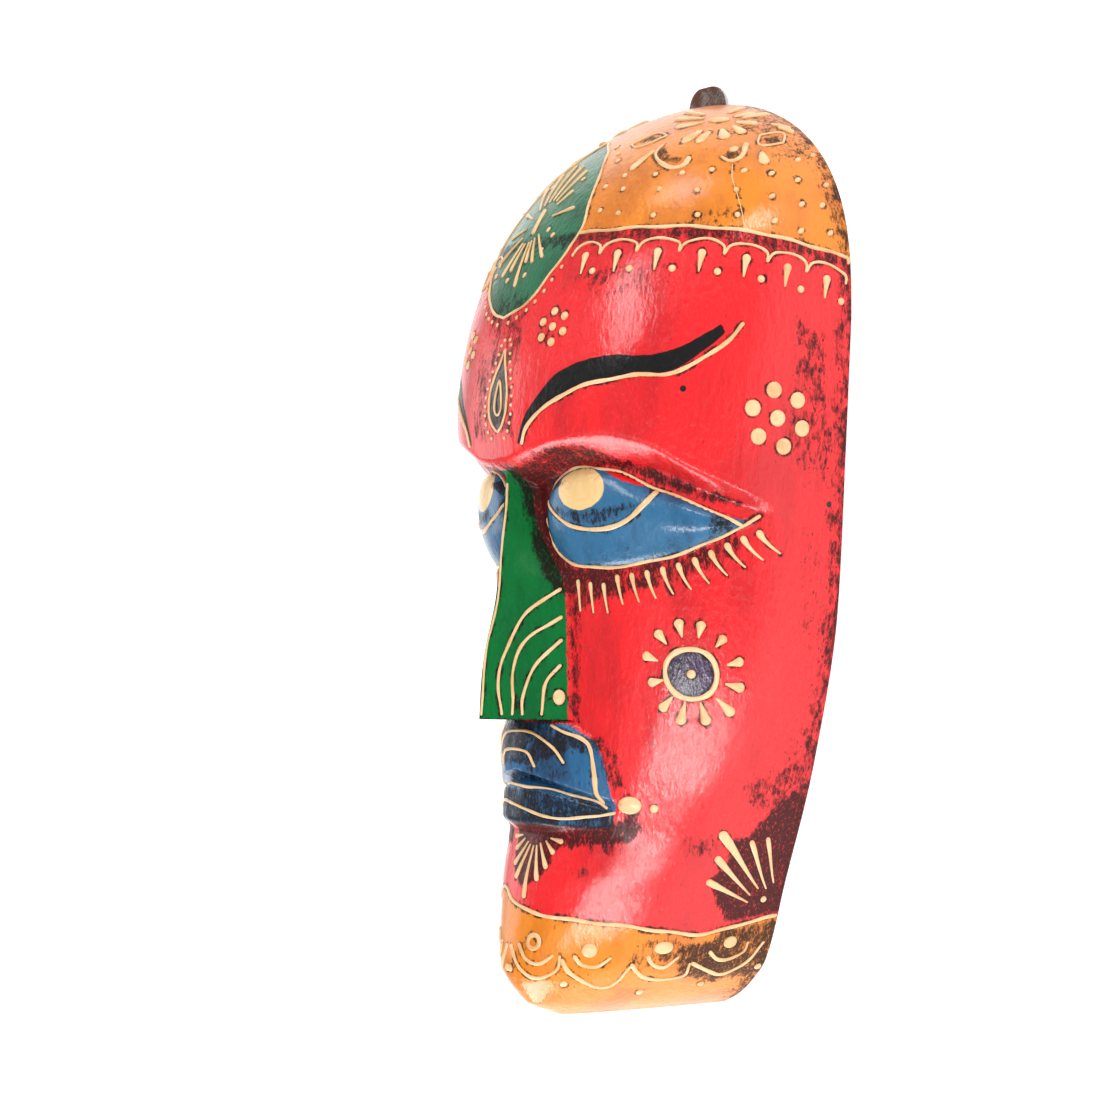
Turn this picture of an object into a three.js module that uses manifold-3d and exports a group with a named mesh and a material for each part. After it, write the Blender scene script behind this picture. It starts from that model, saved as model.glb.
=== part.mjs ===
// Wooden wall mask, lying on its flat back.
// Millimetres. +Z points out of the face, +Y runs from chin to crown, +X is the mask's left flank.
// Heights are measured from the end of the chin; the group is centred on the whole length at the end.

import * as THREE from 'three';
import Module from 'manifold-3d';

// Whole mask
const MASK_HEIGHT = 372;         // chin end to crown
const SECTION_POWER = 2.2;       // superellipse power of every cross-section
const TEMPLE_HALF_WIDTH = 95.4;
const TEMPLE_HEIGHT = 278;       // widest level, where the crown begins to close
const CROWN_POWER_ALONG = 2.9;
const CROWN_POWER_ACROSS = 1.9;
const BROW_DEPTH = 107.5;        // forehead, measured from the flat back
const BROW_HEIGHT = 238;         // where the forehead begins to lean back
const DOME_POWER_ALONG = 1.8;
const DOME_POWER_ACROSS = 1.7;
const THINNEST = 0.3;            // section size kept at the very top

// Half-width of the jaw and the depth of the face, each at named levels [height, size]
const JAW_HALF_WIDTHS = [
  [0, 9], [4, 18], [10, 27], [21, 38], [53, 51], [103, 70.6], [163, 85.8], [223, 90.8], [TEMPLE_HEIGHT, TEMPLE_HALF_WIDTH],
];
const UNCUT_DEPTHS = [
  [0, 76], [6, 90], [22, 99], [53, 96], [103, 96], [162, 100], [202, 105], [BROW_HEIGHT, BROW_DEPTH],
];
const CHEEK_DEPTHS = [
  [0, 76], [6, 90], [22, 99], [53, 95.5], [78, 89], [103, 87], [132, 86], [177, 87], [202, 88], [BROW_HEIGHT, 92],
];

// Brow ledge: its height at each distance round the face, and how steeply the face falls in below it
const LEDGE_HEIGHTS = [
  [0, 215], [10, 216], [24, 220], [37, 223], [57, 224], [73, 222], [91, 214], [111, 206], [130, 200], [160, 192],
];
const LEDGE_FALL = 13;           // height taken by the fall near the nose
const LEDGE_FALL_OUTER = 8;      // and at the outer corner of the eye
const LEDGE_SHARPENS_FROM = 55;
const LEDGE_SHARPENS_TO = 95;
const LEDGE_BELOW_EDGE = 0.35;   // share of the fall that lies under the named height

// Nose: a wedge with a flat underside
const NOSE_BOTTOM = 120;
const NOSE_TOP = 220;
const NOSE_HALF_WIDTHS = [
  [NOSE_BOTTOM, 22.5], [148, 22.5], [178, 22], [183, 17], [189, 11], [198, 7], [214, 6], [NOSE_TOP, 6],
];
const NOSE_ROOT_DEPTH = 99.5;
const NOSE_TIP_DEPTH = 113;
const NOSE_SWELLS_BELOW = 177;
const NOSE_RIDGE_ROUND = 1.2;
const NOSE_MAX_OF_ARC = 0.3;     // of the whole arc, where the section is small

// Eyes: swelling almonds in the sockets, by distance round the face
const EYE_INNER = 6;
const EYE_OUTER = 104;
const EYE_UPPER_LIDS = [
  [EYE_INNER, 200], [12, 210], [21, 216], [33, 219], [45, 219.5], [57, 217], [70, 211], [88, 202.5], [EYE_OUTER, 198],
];
const EYE_LOWER_LIDS = [
  [EYE_INNER, 195], [15, 187], [25, 182], [38, 180.5], [52, 181], [67, 183.5], [80, 187], [94, 193], [EYE_OUTER, 198],
];
const EYE_SWELL = 7;
const EYE_SWELL_HIGH = 1.35;     // above 1 lifts the fullest part toward the upper lid
const EYE_SWELL_LEAN = 0.62;     // pushes the fullest part toward the nose
const EYE_SWELL_ENDS = 0.6;
const EYE_THINNEST = 0.5;        // opening left between the lids at the corners

// Mouth: an upper block under the nose and a lower lip that tucks in
const LIP_HALF_WIDTHS = [
  [76, 41], [86, 43], [90, 41.5], [100, 39.5], [111, 36], [116, 27], [NOSE_BOTTOM, 20],
];
const LIP_EDGE = 2.5;
const LIP_SWELL_SIDE = 2.5;
const LIP_SWELL_MIDDLE = 7.5;
const LIP_MIDDLE_WIDTH = 20;
const LIP_PARTINGS = [[0, 97], [10, 95], [20, 92.5], [30, 90], [42, 87]];
const LIP_PARTING_WIDTH = 3;
const LOWER_LIP_BOTTOM = 77;
const LOWER_LIP_SHARE = 0.75;
const UPPER_LIP_AT_EDGES = 0.6;  // share of its swell that the upper lip keeps at its edges
const UPPER_LIP_DROP = 4;        // the swell is centred this much low

// Hollow back
const HOLLOW_BOTTOM = 26;
const HOLLOW_BELOW_CROWN = 42;
const HOLLOW_TOP = MASK_HEIGHT - HOLLOW_BELOW_CROWN;
const RIM_WIDTH = 20;
const FACE_WALL = 24;
const HOLLOW_END_POWER = 4;
const HOLLOW_ROWS = 14;
const HOLLOW_COLUMNS = 14;

// Hanger: a strip of sheet iron let into the back of the crown, held by two nails
const TAB_WIDTH = 25;
const TAB_PROUD = 8;             // what shows above the crown
const TAB_LET_IN = 40;            // length that lies in the crown
const TAB_BOTTOM = MASK_HEIGHT - TAB_LET_IN;
const TAB_THICK = 1.2;
const TAB_CORNER = 9;
const TAB_BACK = 1.75;           // its back face above the plane of the rim
const HANG_HOLE_RADIUS = 4;
const HANG_HOLE_BELOW_CROWN = 13;
const HANG_HOLE_HEIGHT = MASK_HEIGHT - HANG_HOLE_BELOW_CROWN;
const HANG_POCKET_RADIUS = 8;
const HANG_POCKET_DEPTH = 10;
const NAILS_BELOW_CROWN = [34, 25];
const NAIL_HEIGHTS = NAILS_BELOW_CROWN.map((below) => MASK_HEIGHT - below);
const NAIL_SHANK_RADIUS = 1;
const NAIL_HEAD_RADIUS = 3;
const NAIL_HEAD_THICK = 1;
const NAIL_HEAD_BACK = 0.4;
const NAIL_LENGTH = 16;
const NAIL_POINT = 3;
const GAP = 0.3;

// Mesh
const FACE_COLUMNS_NOSE = 4;
const FACE_COLUMNS_SIDE = 19;
const ARC_SAMPLES = 90;
const ROWS_MERGE_WITHIN = 0.05;   // mm; rows closer than this are one
const WELD_STEPS_PER_MM = 1e4;    // corners that round to the same step are one
const TAB_CURVE_SEGMENTS = 8;
const POCKET_CURVE_SEGMENTS = 10;
const NAIL_HOLE_CURVE_SEGMENTS = 6;
const NAIL_SEGMENTS = 16;
const PAST_BACK = -1;             // cuts begin this far behind the flat back
const ROW_BANDS = [               // [from, to, steps]
  [0, 6, 4], [6, 22, 4], [22, 70, 5], [72, 119.9, 18], [NOSE_BOTTOM + 0.3, 176, 8],
  [179, 233, 20], [238, 300, 8], [307, MASK_HEIGHT - 11, 10], [MASK_HEIGHT - 8, MASK_HEIGHT - 0.6, 5],
];
// Mesh rows bend to run along the parting of the lips and under the brow ledge
const LIP_BEND = { stations: LIP_PARTINGS, level: 97, rises: [64, 89], falls: [100, 119], most: 42 };
const BROW_BEND = { stations: LEDGE_HEIGHTS, level: 224, rises: [170, 208], falls: [230, 270], most: 111 };

const HALF_LENGTH = (MASK_HEIGHT + TAB_PROUD) / 2;

const clamp = (value, low, high) => Math.min(high, Math.max(low, value));
const mix = (a, b, t) => a + (b - a) * t;

function smoothStep(from, to, value) {
  const t = clamp((value - from) / (to - from), 0, 1);
  return t * t * (3 - 2 * t);
}

// Smooth curve through [position, size] stations that never overshoots them
function through(stations, position) {
  const at = clamp(position, stations[0][0], stations[stations.length - 1][0]);
  const slope = (i) => (stations[i + 1][1] - stations[i][1]) / (stations[i + 1][0] - stations[i][0]);
  const tangent = (i) => {
    if (i === 0) return slope(0);
    if (i === stations.length - 1) return slope(i - 1);
    const before = slope(i - 1);
    const after = slope(i);
    return before * after <= 0 ? 0 : (2 * before * after) / (before + after);
  };
  let i = 0;
  while (i < stations.length - 2 && at > stations[i + 1][0]) i += 1;
  const span = stations[i + 1][0] - stations[i][0];
  const t = (at - stations[i][0]) / span;
  return (2 * t ** 3 - 3 * t ** 2 + 1) * stations[i][1]
    + (t ** 3 - 2 * t ** 2 + t) * span * tangent(i)
    + (3 * t ** 2 - 2 * t ** 3) * stations[i + 1][1]
    + (t ** 3 - t ** 2) * span * tangent(i + 1);
}

function halfWidth(height) {
  if (height <= TEMPLE_HEIGHT) return through(JAW_HALF_WIDTHS, height);
  const t = (height - TEMPLE_HEIGHT) / (MASK_HEIGHT - TEMPLE_HEIGHT);
  const closing = Math.max(0, 1 - t ** CROWN_POWER_ALONG) ** (1 / CROWN_POWER_ACROSS);
  return Math.max(THINNEST, TEMPLE_HALF_WIDTH * closing);
}

function depthAt(height, stations) {
  if (height <= BROW_HEIGHT) return through(stations, height);
  const t = (height - BROW_HEIGHT) / (MASK_HEIGHT - BROW_HEIGHT);
  const leaning = Math.max(0, 1 - t ** DOME_POWER_ALONG) ** (1 / DOME_POWER_ACROSS);
  return Math.max(THINNEST, stations[stations.length - 1][1] * leaning);
}

// One quarter of a cross-section with the running length of its arc
function quarterSection(width, depth) {
  const points = [];
  let arc = 0;
  for (let i = 0; i <= ARC_SAMPLES; i += 1) {
    const angle = (i / ARC_SAMPLES) * Math.PI / 2;
    const across = Math.sin(angle);
    const out = i === ARC_SAMPLES ? 0 : Math.cos(angle);
    const sum = (across / width) ** SECTION_POWER + (out / depth) ** SECTION_POWER;
    const radius = sum ** (-1 / SECTION_POWER);
    const x = radius * across;
    const z = radius * out;
    if (i > 0) arc += Math.hypot(x - points[i - 1].x, z - points[i - 1].z);
    points.push({ x, z, arc });
  }
  return points;
}

function pointAlong(section, arc) {
  let i = 0;
  while (i < section.length - 2 && arc > section[i + 1].arc) i += 1;
  const t = clamp((arc - section[i].arc) / (section[i + 1].arc - section[i].arc), 0, 1);
  return { x: mix(section[i].x, section[i + 1].x, t), z: mix(section[i].z, section[i + 1].z, t) };
}

// Share of the full brow depth at this place: 1 above the ledge, 0 below it
function browShare(side, height) {
  const edge = through(LEDGE_HEIGHTS, side);
  const fall = mix(LEDGE_FALL, LEDGE_FALL_OUTER, smoothStep(LEDGE_SHARPENS_FROM, LEDGE_SHARPENS_TO, side));
  const start = edge - LEDGE_BELOW_EDGE * fall;
  return smoothStep(start, start + fall, height);
}

function noseRise(side, height, middleDepth) {
  if (height < NOSE_BOTTOM || height > NOSE_TOP) return 0;
  const swell = clamp((NOSE_SWELLS_BELOW - height) / (NOSE_SWELLS_BELOW - NOSE_BOTTOM), 0, 1);
  const ridge = mix(NOSE_ROOT_DEPTH, NOSE_TIP_DEPTH, swell);
  const rounded = Math.hypot(side, NOSE_RIDGE_ROUND) - NOSE_RIDGE_ROUND;
  const slope = clamp(1 - rounded / through(NOSE_HALF_WIDTHS, height), 0, 1);
  return Math.max(0, ridge - middleDepth) * slope;
}

function eyeRise(side, height) {
  if (side <= EYE_INNER || side >= EYE_OUTER) return 0;
  const lower = through(EYE_LOWER_LIDS, side);
  const upper = through(EYE_UPPER_LIDS, side);
  const up = clamp((height - lower) / Math.max(upper - lower, EYE_THINNEST), 0, 1) ** EYE_SWELL_HIGH;
  const along = (side - EYE_INNER) / (EYE_OUTER - EYE_INNER);
  const fullness = Math.max(0, Math.sin(Math.PI * along ** EYE_SWELL_LEAN)) ** EYE_SWELL_ENDS;
  return EYE_SWELL * Math.sqrt(4 * up * (1 - up)) * fullness;
}

function lipRise(side, height) {
  const edge = through(LIP_HALF_WIDTHS, height);
  const inside = 1 - smoothStep(edge - LIP_EDGE / 2, edge + LIP_EDGE / 2, side);
  const core = LIP_SWELL_SIDE + LIP_SWELL_MIDDLE * Math.exp(-((side / LIP_MIDDLE_WIDTH) ** 2));
  const parting = through(LIP_PARTINGS, side);
  const over = smoothStep(parting, parting + LIP_PARTING_WIDTH, height);
  const under = 1 - smoothStep(parting - LIP_PARTING_WIDTH, parting, height);
  const belowNose = height < NOSE_BOTTOM ? 1 : 0;
  const up = clamp((height - parting + UPPER_LIP_DROP) / (NOSE_BOTTOM - parting + UPPER_LIP_DROP), 0, 1);
  const bulge = mix(UPPER_LIP_AT_EDGES, 1, Math.sin(Math.PI * up));
  const foot = smoothStep(LOWER_LIP_BOTTOM - LIP_PARTING_WIDTH, LOWER_LIP_BOTTOM + LIP_PARTING_WIDTH, height);
  return Math.max(core * bulge * over * belowNose, core * LOWER_LIP_SHARE * foot * under) * inside;
}

// Distance round the face of mesh column j on a section of this height
function arcOfColumn(section, height, j) {
  const total = section[section.length - 1].arc;
  const nose = Math.min(through(NOSE_HALF_WIDTHS, height), NOSE_MAX_OF_ARC * total);
  if (j <= FACE_COLUMNS_NOSE) return nose * j / FACE_COLUMNS_NOSE;
  return nose + (total - nose) * (j - FACE_COLUMNS_NOSE) / FACE_COLUMNS_SIDE;
}

// Point of the carved face on mesh column j at this height
function facePoint(height, j) {
  const width = halfWidth(height);
  const cheekDepth = depthAt(height, CHEEK_DEPTHS);
  const uncutDepth = depthAt(height, UNCUT_DEPTHS);
  const cheek = quarterSection(width, cheekDepth);
  const uncut = quarterSection(width, uncutDepth);
  const cheekArc = arcOfColumn(cheek, height, j);
  const uncutArc = arcOfColumn(uncut, height, j);
  const low = pointAlong(cheek, cheekArc);
  const high = pointAlong(uncut, uncutArc);
  const share = browShare(uncutArc, height);
  const side = mix(cheekArc, uncutArc, share);
  const depth = mix(cheekDepth, uncutDepth, share);
  const x = mix(low.x, high.x, share);
  const z = mix(low.z, high.z, share);
  const normal = new THREE.Vector2(
    (x / width) ** (SECTION_POWER - 1) / width,
    (z / depth) ** (SECTION_POWER - 1) / depth,
  ).normalize();
  const middleDepth = mix(cheekDepth, uncutDepth, browShare(0, height));
  const rise = noseRise(side, height, middleDepth) + eyeRise(side, height) + lipRise(side, height);
  const atBackEdge = j === FACE_COLUMNS_NOSE + FACE_COLUMNS_SIDE;
  return new THREE.Vector3(x + normal.x * rise, height, atBackEdge ? 0 : z + normal.y * rise);
}

function rowBend(bend, height, side) {
  const weight = smoothStep(bend.rises[0], bend.rises[1], height)
    * (1 - smoothStep(bend.falls[0], bend.falls[1], height));
  return weight * (through(bend.stations, Math.min(side, bend.most)) - bend.level);
}

// One row of the carved face, from the middle line to the back edge of one side
function faceRow(height) {
  const section = quarterSection(halfWidth(height), depthAt(height, CHEEK_DEPTHS));
  const row = [];
  for (let j = 0; j <= FACE_COLUMNS_NOSE + FACE_COLUMNS_SIDE; j += 1) {
    const side = arcOfColumn(section, height, j);
    row.push(facePoint(height + rowBend(LIP_BEND, height, side) + rowBend(BROW_BEND, height, side), j));
  }
  return row;
}

// Both sides of a row, from the right-hand back edge over the face to the left-hand one
function wholeRow(height) {
  const half = faceRow(height);
  const mirrored = half.slice(1).reverse().map((p) => new THREE.Vector3(-p.x, p.y, p.z));
  return [...mirrored, ...half];
}

function rowHeights() {
  const heights = [];
  for (const [from, to, steps] of ROW_BANDS) {
    for (let i = 0; i <= steps; i += 1) {
      const height = from + (to - from) * i / steps;
      if (heights.length === 0 || height > heights[heights.length - 1] + ROWS_MERGE_WITHIN) heights.push(height);
    }
  }
  return heights;
}

class SolidBuilder {
  constructor() {
    this.points = [];
    this.triangles = [];
  }

  add(point) {
    this.points.push(point.clone());
    return this.points.length - 1;
  }

  face(a, b, c) {
    this.triangles.push([a, b, c]);
  }

  // Joins two rows of equal length; the first is the lower one
  strip(lower, upper) {
    for (let j = 0; j < lower.length - 1; j += 1) {
      this.face(lower[j], lower[j + 1], upper[j + 1]);
      this.face(lower[j], upper[j + 1], upper[j]);
    }
  }

  toManifold(wasm) {
    const vertProperties = new Float32Array(this.points.flatMap((p) => [p.x, p.y, p.z]));
    let signed = 0;
    for (const [a, b, c] of this.triangles) {
      const cross = new THREE.Vector3().crossVectors(this.points[b], this.points[c]);
      signed += this.points[a].dot(cross);
    }
    const ordered = signed >= 0 ? this.triangles : this.triangles.map(([a, b, c]) => [a, c, b]);
    const triVerts = new Uint32Array(ordered.flat());
    return new wasm.Manifold(new wasm.Mesh({ numProp: 3, vertProperties, triVerts }));
  }
}

function hollowProfile(height) {
  const t = (height - HOLLOW_BOTTOM) / (HOLLOW_TOP - HOLLOW_BOTTOM);
  const closing = Math.max(0, 1 - Math.abs(2 * t - 1) ** HOLLOW_END_POWER) ** (1 / SECTION_POWER);
  return {
    width: Math.max(0, halfWidth(height) - RIM_WIDTH) * closing,
    depth: Math.max(0, depthAt(height, CHEEK_DEPTHS) - FACE_WALL) * closing,
  };
}

// The scooped back as rows of points from one edge of the opening to the other
function hollowRows(solid) {
  const rows = [];
  for (let i = 1; i < HOLLOW_ROWS; i += 1) {
    const eased = (1 - Math.cos(Math.PI * i / HOLLOW_ROWS)) / 2;
    const height = mix(HOLLOW_BOTTOM, HOLLOW_TOP, eased);
    const { width, depth } = hollowProfile(height);
    const row = [];
    for (let j = 0; j <= HOLLOW_COLUMNS; j += 1) {
      const angle = Math.PI * (j / HOLLOW_COLUMNS) - Math.PI / 2;
      const atEdge = j === 0 || j === HOLLOW_COLUMNS;
      const x = width * Math.sin(angle);
      row.push(solid.add(new THREE.Vector3(x, height, atEdge ? 0 : depth * Math.cos(angle))));
    }
    rows.push(row);
  }
  return rows;
}

function carveBody(wasm) {
  const solid = new SolidBuilder();
  const rows = rowHeights().map((height) => wholeRow(height).map((p) => solid.add(p)));
  for (let i = 0; i < rows.length - 1; i += 1) solid.strip(rows[i], rows[i + 1]);

  const crown = solid.add(new THREE.Vector3(0, MASK_HEIGHT, 0));
  const last = rows[rows.length - 1];
  for (let j = 0; j < last.length - 1; j += 1) solid.face(last[j], last[j + 1], crown);

  const chinMiddle = solid.add(new THREE.Vector3(0, 0, CHEEK_DEPTHS[0][1] / 2));
  const first = rows[0];
  for (let j = 0; j < first.length - 1; j += 1) solid.face(first[j + 1], first[j], chinMiddle);
  solid.face(first[0], first[first.length - 1], chinMiddle);

  const scoop = hollowRows(solid);
  const scoopBottom = solid.add(new THREE.Vector3(0, HOLLOW_BOTTOM, 0));
  const scoopTop = solid.add(new THREE.Vector3(0, HOLLOW_TOP, 0));
  for (let i = 0; i < scoop.length - 1; i += 1) solid.strip(scoop[i + 1], scoop[i]);
  for (let j = 0; j < HOLLOW_COLUMNS; j += 1) {
    solid.face(scoop[0][j], scoop[0][j + 1], scoopBottom);
    solid.face(scoop[scoop.length - 1][j + 1], scoop[scoop.length - 1][j], scoopTop);
  }

  const rightEdge = rows.map((row) => row[row.length - 1]);
  const leftEdge = rows.map((row) => row[0]).reverse();
  const outline = [...rightEdge, crown, ...leftEdge];
  const scoopRight = scoop.map((row) => row[HOLLOW_COLUMNS]);
  const scoopLeft = scoop.map((row) => row[0]).reverse();
  const opening = [scoopBottom, ...scoopRight, scoopTop, ...scoopLeft];
  const flat = (index) => new THREE.Vector2(solid.points[index].x, solid.points[index].y);
  const order = [...outline, ...opening];
  const rim = THREE.ShapeUtils.triangulateShape(outline.map(flat), [opening.map(flat)]);
  for (const [a, b, c] of rim) solid.face(order[a], order[c], order[b]);
  return solid.toManifold(wasm);
}

// Outline of the hanger strip, grown by a clearance; the top runs past the crown
function tabShape(clearance, top) {
  const half = TAB_WIDTH / 2 + clearance;
  const low = TAB_BOTTOM - clearance;
  const corner = TAB_CORNER + clearance;
  const shape = new THREE.Shape();
  shape.moveTo(-half + corner, low);
  shape.lineTo(half - corner, low);
  shape.absarc(half - corner, low + corner, corner, -Math.PI / 2, 0, false);
  shape.lineTo(half, top - corner);
  shape.absarc(half - corner, top - corner, corner, 0, Math.PI / 2, false);
  shape.lineTo(-half + corner, top);
  shape.absarc(-half + corner, top - corner, corner, Math.PI / 2, Math.PI, false);
  shape.lineTo(-half, low + corner);
  shape.absarc(-half + corner, low + corner, corner, Math.PI, Math.PI * 1.5, false);
  return shape;
}

function circlePath(height, radius) {
  const path = new THREE.Path();
  path.absarc(0, height, radius, 0, Math.PI * 2, true);
  return path;
}

function plate(shape, from, to, segments) {
  const options = { depth: to - from, bevelEnabled: false, curveSegments: segments };
  const geometry = new THREE.ExtrudeGeometry(shape, options);
  geometry.translate(0, 0, from);
  return geometry;
}

function welded(geometry, wasm) {
  const solid = new SolidBuilder();
  const known = new Map();
  const position = geometry.getAttribute('position');
  const inOrder = Array.from({ length: position.count }, (_, i) => i);
  const order = geometry.index ? Array.from(geometry.index.array) : inOrder;
  const indices = order.map((i) => {
    const point = new THREE.Vector3().fromBufferAttribute(position, i);
    const key = [point.x, point.y, point.z].map((v) => Math.round(v * WELD_STEPS_PER_MM)).join(',');
    if (!known.has(key)) known.set(key, solid.add(point));
    return known.get(key);
  });
  for (let i = 0; i < indices.length; i += 3) {
    const [a, b, c] = [indices[i], indices[i + 1], indices[i + 2]];
    if (a !== b && b !== c && a !== c) solid.face(a, b, c);
  }
  return solid.toManifold(wasm);
}

function fromManifold(manifold) {
  const mesh = manifold.getMesh();
  const geometry = new THREE.BufferGeometry();
  geometry.setAttribute('position', new THREE.BufferAttribute(new Float32Array(mesh.vertProperties), 3));
  geometry.setIndex(new THREE.BufferAttribute(new Uint32Array(mesh.triVerts), 1));
  return geometry;
}

function roundHole(height, radius, to, wasm, segments) {
  const shape = new THREE.Shape();
  shape.absarc(0, height, radius, 0, Math.PI * 2, false);
  return welded(plate(shape, PAST_BACK, to, segments), wasm);
}

function bodyGeometry(wasm) {
  const tabFront = TAB_BACK + TAB_THICK;
  const rebateTop = MASK_HEIGHT + TAB_PROUD + 2 * TAB_CORNER;
  const rebate = welded(plate(tabShape(GAP, rebateTop), PAST_BACK, tabFront + GAP, TAB_CURVE_SEGMENTS), wasm);
  let body = carveBody(wasm).subtract(rebate);
  const pocketEnd = tabFront + GAP + HANG_POCKET_DEPTH;
  const pocket = roundHole(HANG_HOLE_HEIGHT, HANG_POCKET_RADIUS, pocketEnd, wasm, POCKET_CURVE_SEGMENTS);
  body = body.subtract(pocket);
  for (const height of NAIL_HEIGHTS) {
    const holeEnd = NAIL_HEAD_BACK + NAIL_HEAD_THICK + NAIL_LENGTH + GAP;
    const hole = roundHole(height, NAIL_SHANK_RADIUS + GAP, holeEnd, wasm, NAIL_HOLE_CURVE_SEGMENTS);
    body = body.subtract(hole);
  }
  return fromManifold(body);
}

function tabGeometry() {
  const shape = tabShape(0, MASK_HEIGHT + TAB_PROUD);
  shape.holes.push(circlePath(HANG_HOLE_HEIGHT, HANG_HOLE_RADIUS));
  for (const height of NAIL_HEIGHTS) shape.holes.push(circlePath(height, NAIL_SHANK_RADIUS + GAP));
  return plate(shape, TAB_BACK, TAB_BACK + TAB_THICK, TAB_CURVE_SEGMENTS);
}

function nailGeometry() {
  const headTop = NAIL_HEAD_THICK;
  const profile = [
    [0, 0], [NAIL_HEAD_RADIUS, 0], [NAIL_HEAD_RADIUS, headTop], [NAIL_SHANK_RADIUS, headTop],
    [NAIL_SHANK_RADIUS, headTop + NAIL_LENGTH - NAIL_POINT], [0, headTop + NAIL_LENGTH],
  ];
  const geometry = new THREE.LatheGeometry(profile.map(([r, y]) => new THREE.Vector2(r, y)), NAIL_SEGMENTS);
  geometry.rotateX(Math.PI / 2);
  return geometry;
}

function piece(name, geometry, colour, roughness, metalness) {
  geometry.translate(0, -HALF_LENGTH, 0);
  const finish = new THREE.MeshStandardMaterial({ color: colour, roughness, metalness });
  const mesh = new THREE.Mesh(geometry, finish);
  mesh.name = name;
  return mesh;
}

const wasm = await Module();
wasm.setup();

const group = new THREE.Group();
group.name = 'wooden_wall_mask';
group.add(piece('mask_body', bodyGeometry(wasm), 0xd8352f, 0.4, 0));
group.add(piece('hanger_tab', tabGeometry(), 0x3a322d, 0.7, 0.8));
const NAIL_NAMES = ['lower_nail', 'upper_nail'];
NAIL_HEIGHTS.forEach((height, i) => {
  const geometry = nailGeometry();
  geometry.translate(0, height, NAIL_HEAD_BACK);
  group.add(piece(NAIL_NAMES[i], geometry, 0x4a423b, 0.6, 0.8));
});

export default group;
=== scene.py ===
"""Wooden wall mask lying on its flat back: carved and painted body, raised ornament, iron hanger, nails."""
import logging
import math
from collections.abc import Callable, Sequence
from dataclasses import dataclass
from enum import Enum

import bpy
import numpy as np
from mathutils import Matrix, Quaternion, Vector
from mathutils.geometry import tessellate_polygon
from mathutils.kdtree import KDTree


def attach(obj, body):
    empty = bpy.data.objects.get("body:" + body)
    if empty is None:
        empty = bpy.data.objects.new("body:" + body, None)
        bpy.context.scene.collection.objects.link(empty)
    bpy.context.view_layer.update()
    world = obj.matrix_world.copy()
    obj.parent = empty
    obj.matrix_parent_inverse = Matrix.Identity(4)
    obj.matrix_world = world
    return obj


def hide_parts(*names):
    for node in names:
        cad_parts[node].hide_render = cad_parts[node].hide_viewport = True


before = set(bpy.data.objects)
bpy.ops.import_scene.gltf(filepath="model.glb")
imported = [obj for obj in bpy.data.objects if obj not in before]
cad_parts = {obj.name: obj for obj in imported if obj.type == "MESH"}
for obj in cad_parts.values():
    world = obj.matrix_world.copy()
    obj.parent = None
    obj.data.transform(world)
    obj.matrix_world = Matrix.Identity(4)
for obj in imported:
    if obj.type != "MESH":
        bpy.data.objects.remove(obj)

Pair = tuple[float, float]
Triple = tuple[float, float, float]
Path = list[Pair]
Stations = tuple[Pair, ...]
Ramp = tuple[float, ...]
Socket = bpy.types.NodeSocket

MM = 0.001
EVEN: Triple = (1.0, 1.0, 1.0)
PHOTO_PIXELS = 1100
HALF_LENGTH = 190.0     # mm from the frame's origin to the end of the chin
LOG = logging.getLogger("wall_mask")


def linear(code: str) -> tuple[float, float, float, float]:
    """Scene-linear colour of a hex colour.

    Args:
        code: six hex digits after a hash sign.

    Returns:
        Red, green, blue and an alpha of 1.
    """
    parts = [int(code[i:i + 2], 16) / 255 for i in (1, 3, 5)]
    return tuple(c / 12.92 if c <= 0.04045 else ((c + 0.055) / 1.055) ** 2.4 for c in parts) + (1.0,)


def smooth_step(start, end, value) -> np.ndarray:
    """0 before start, 1 after end, with a smooth rise between them."""
    t = np.clip((np.asarray(value, float) - start) / (end - start), 0, 1)
    return t * t * (3 - 2 * t)


def through(stations: Stations, position) -> np.ndarray:
    """Smooth curve through stations that never overshoots them.

    Args:
        stations: pairs of position and size, in rising order.
        position: where the curve is read, one number or an array.

    Returns:
        The size at each position.
    """
    xs = np.array([a for a, _ in stations], float)
    ys = np.array([b for _, b in stations], float)
    at = np.clip(np.asarray(position, float), xs[0], xs[-1])
    slopes = np.diff(ys) / np.diff(xs)
    tangents = np.empty(len(xs))
    tangents[0], tangents[-1] = slopes[0], slopes[-1]
    before, after = slopes[:-1], slopes[1:]
    total = np.where(before + after == 0, 1, before + after)
    tangents[1:-1] = np.where(before * after <= 0, 0, 2 * before * after / total)
    i = np.clip(np.searchsorted(xs, at, side="left") - 1, 0, len(xs) - 2)
    span = xs[i + 1] - xs[i]
    t = (at - xs[i]) / span
    return ((2 * t ** 3 - 3 * t ** 2 + 1) * ys[i] + (t ** 3 - 2 * t ** 2 + t) * span * tangents[i]
            + (3 * t ** 2 - 2 * t ** 3) * ys[i + 1] + (t ** 3 - t ** 2) * span * tangents[i + 1])


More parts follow.
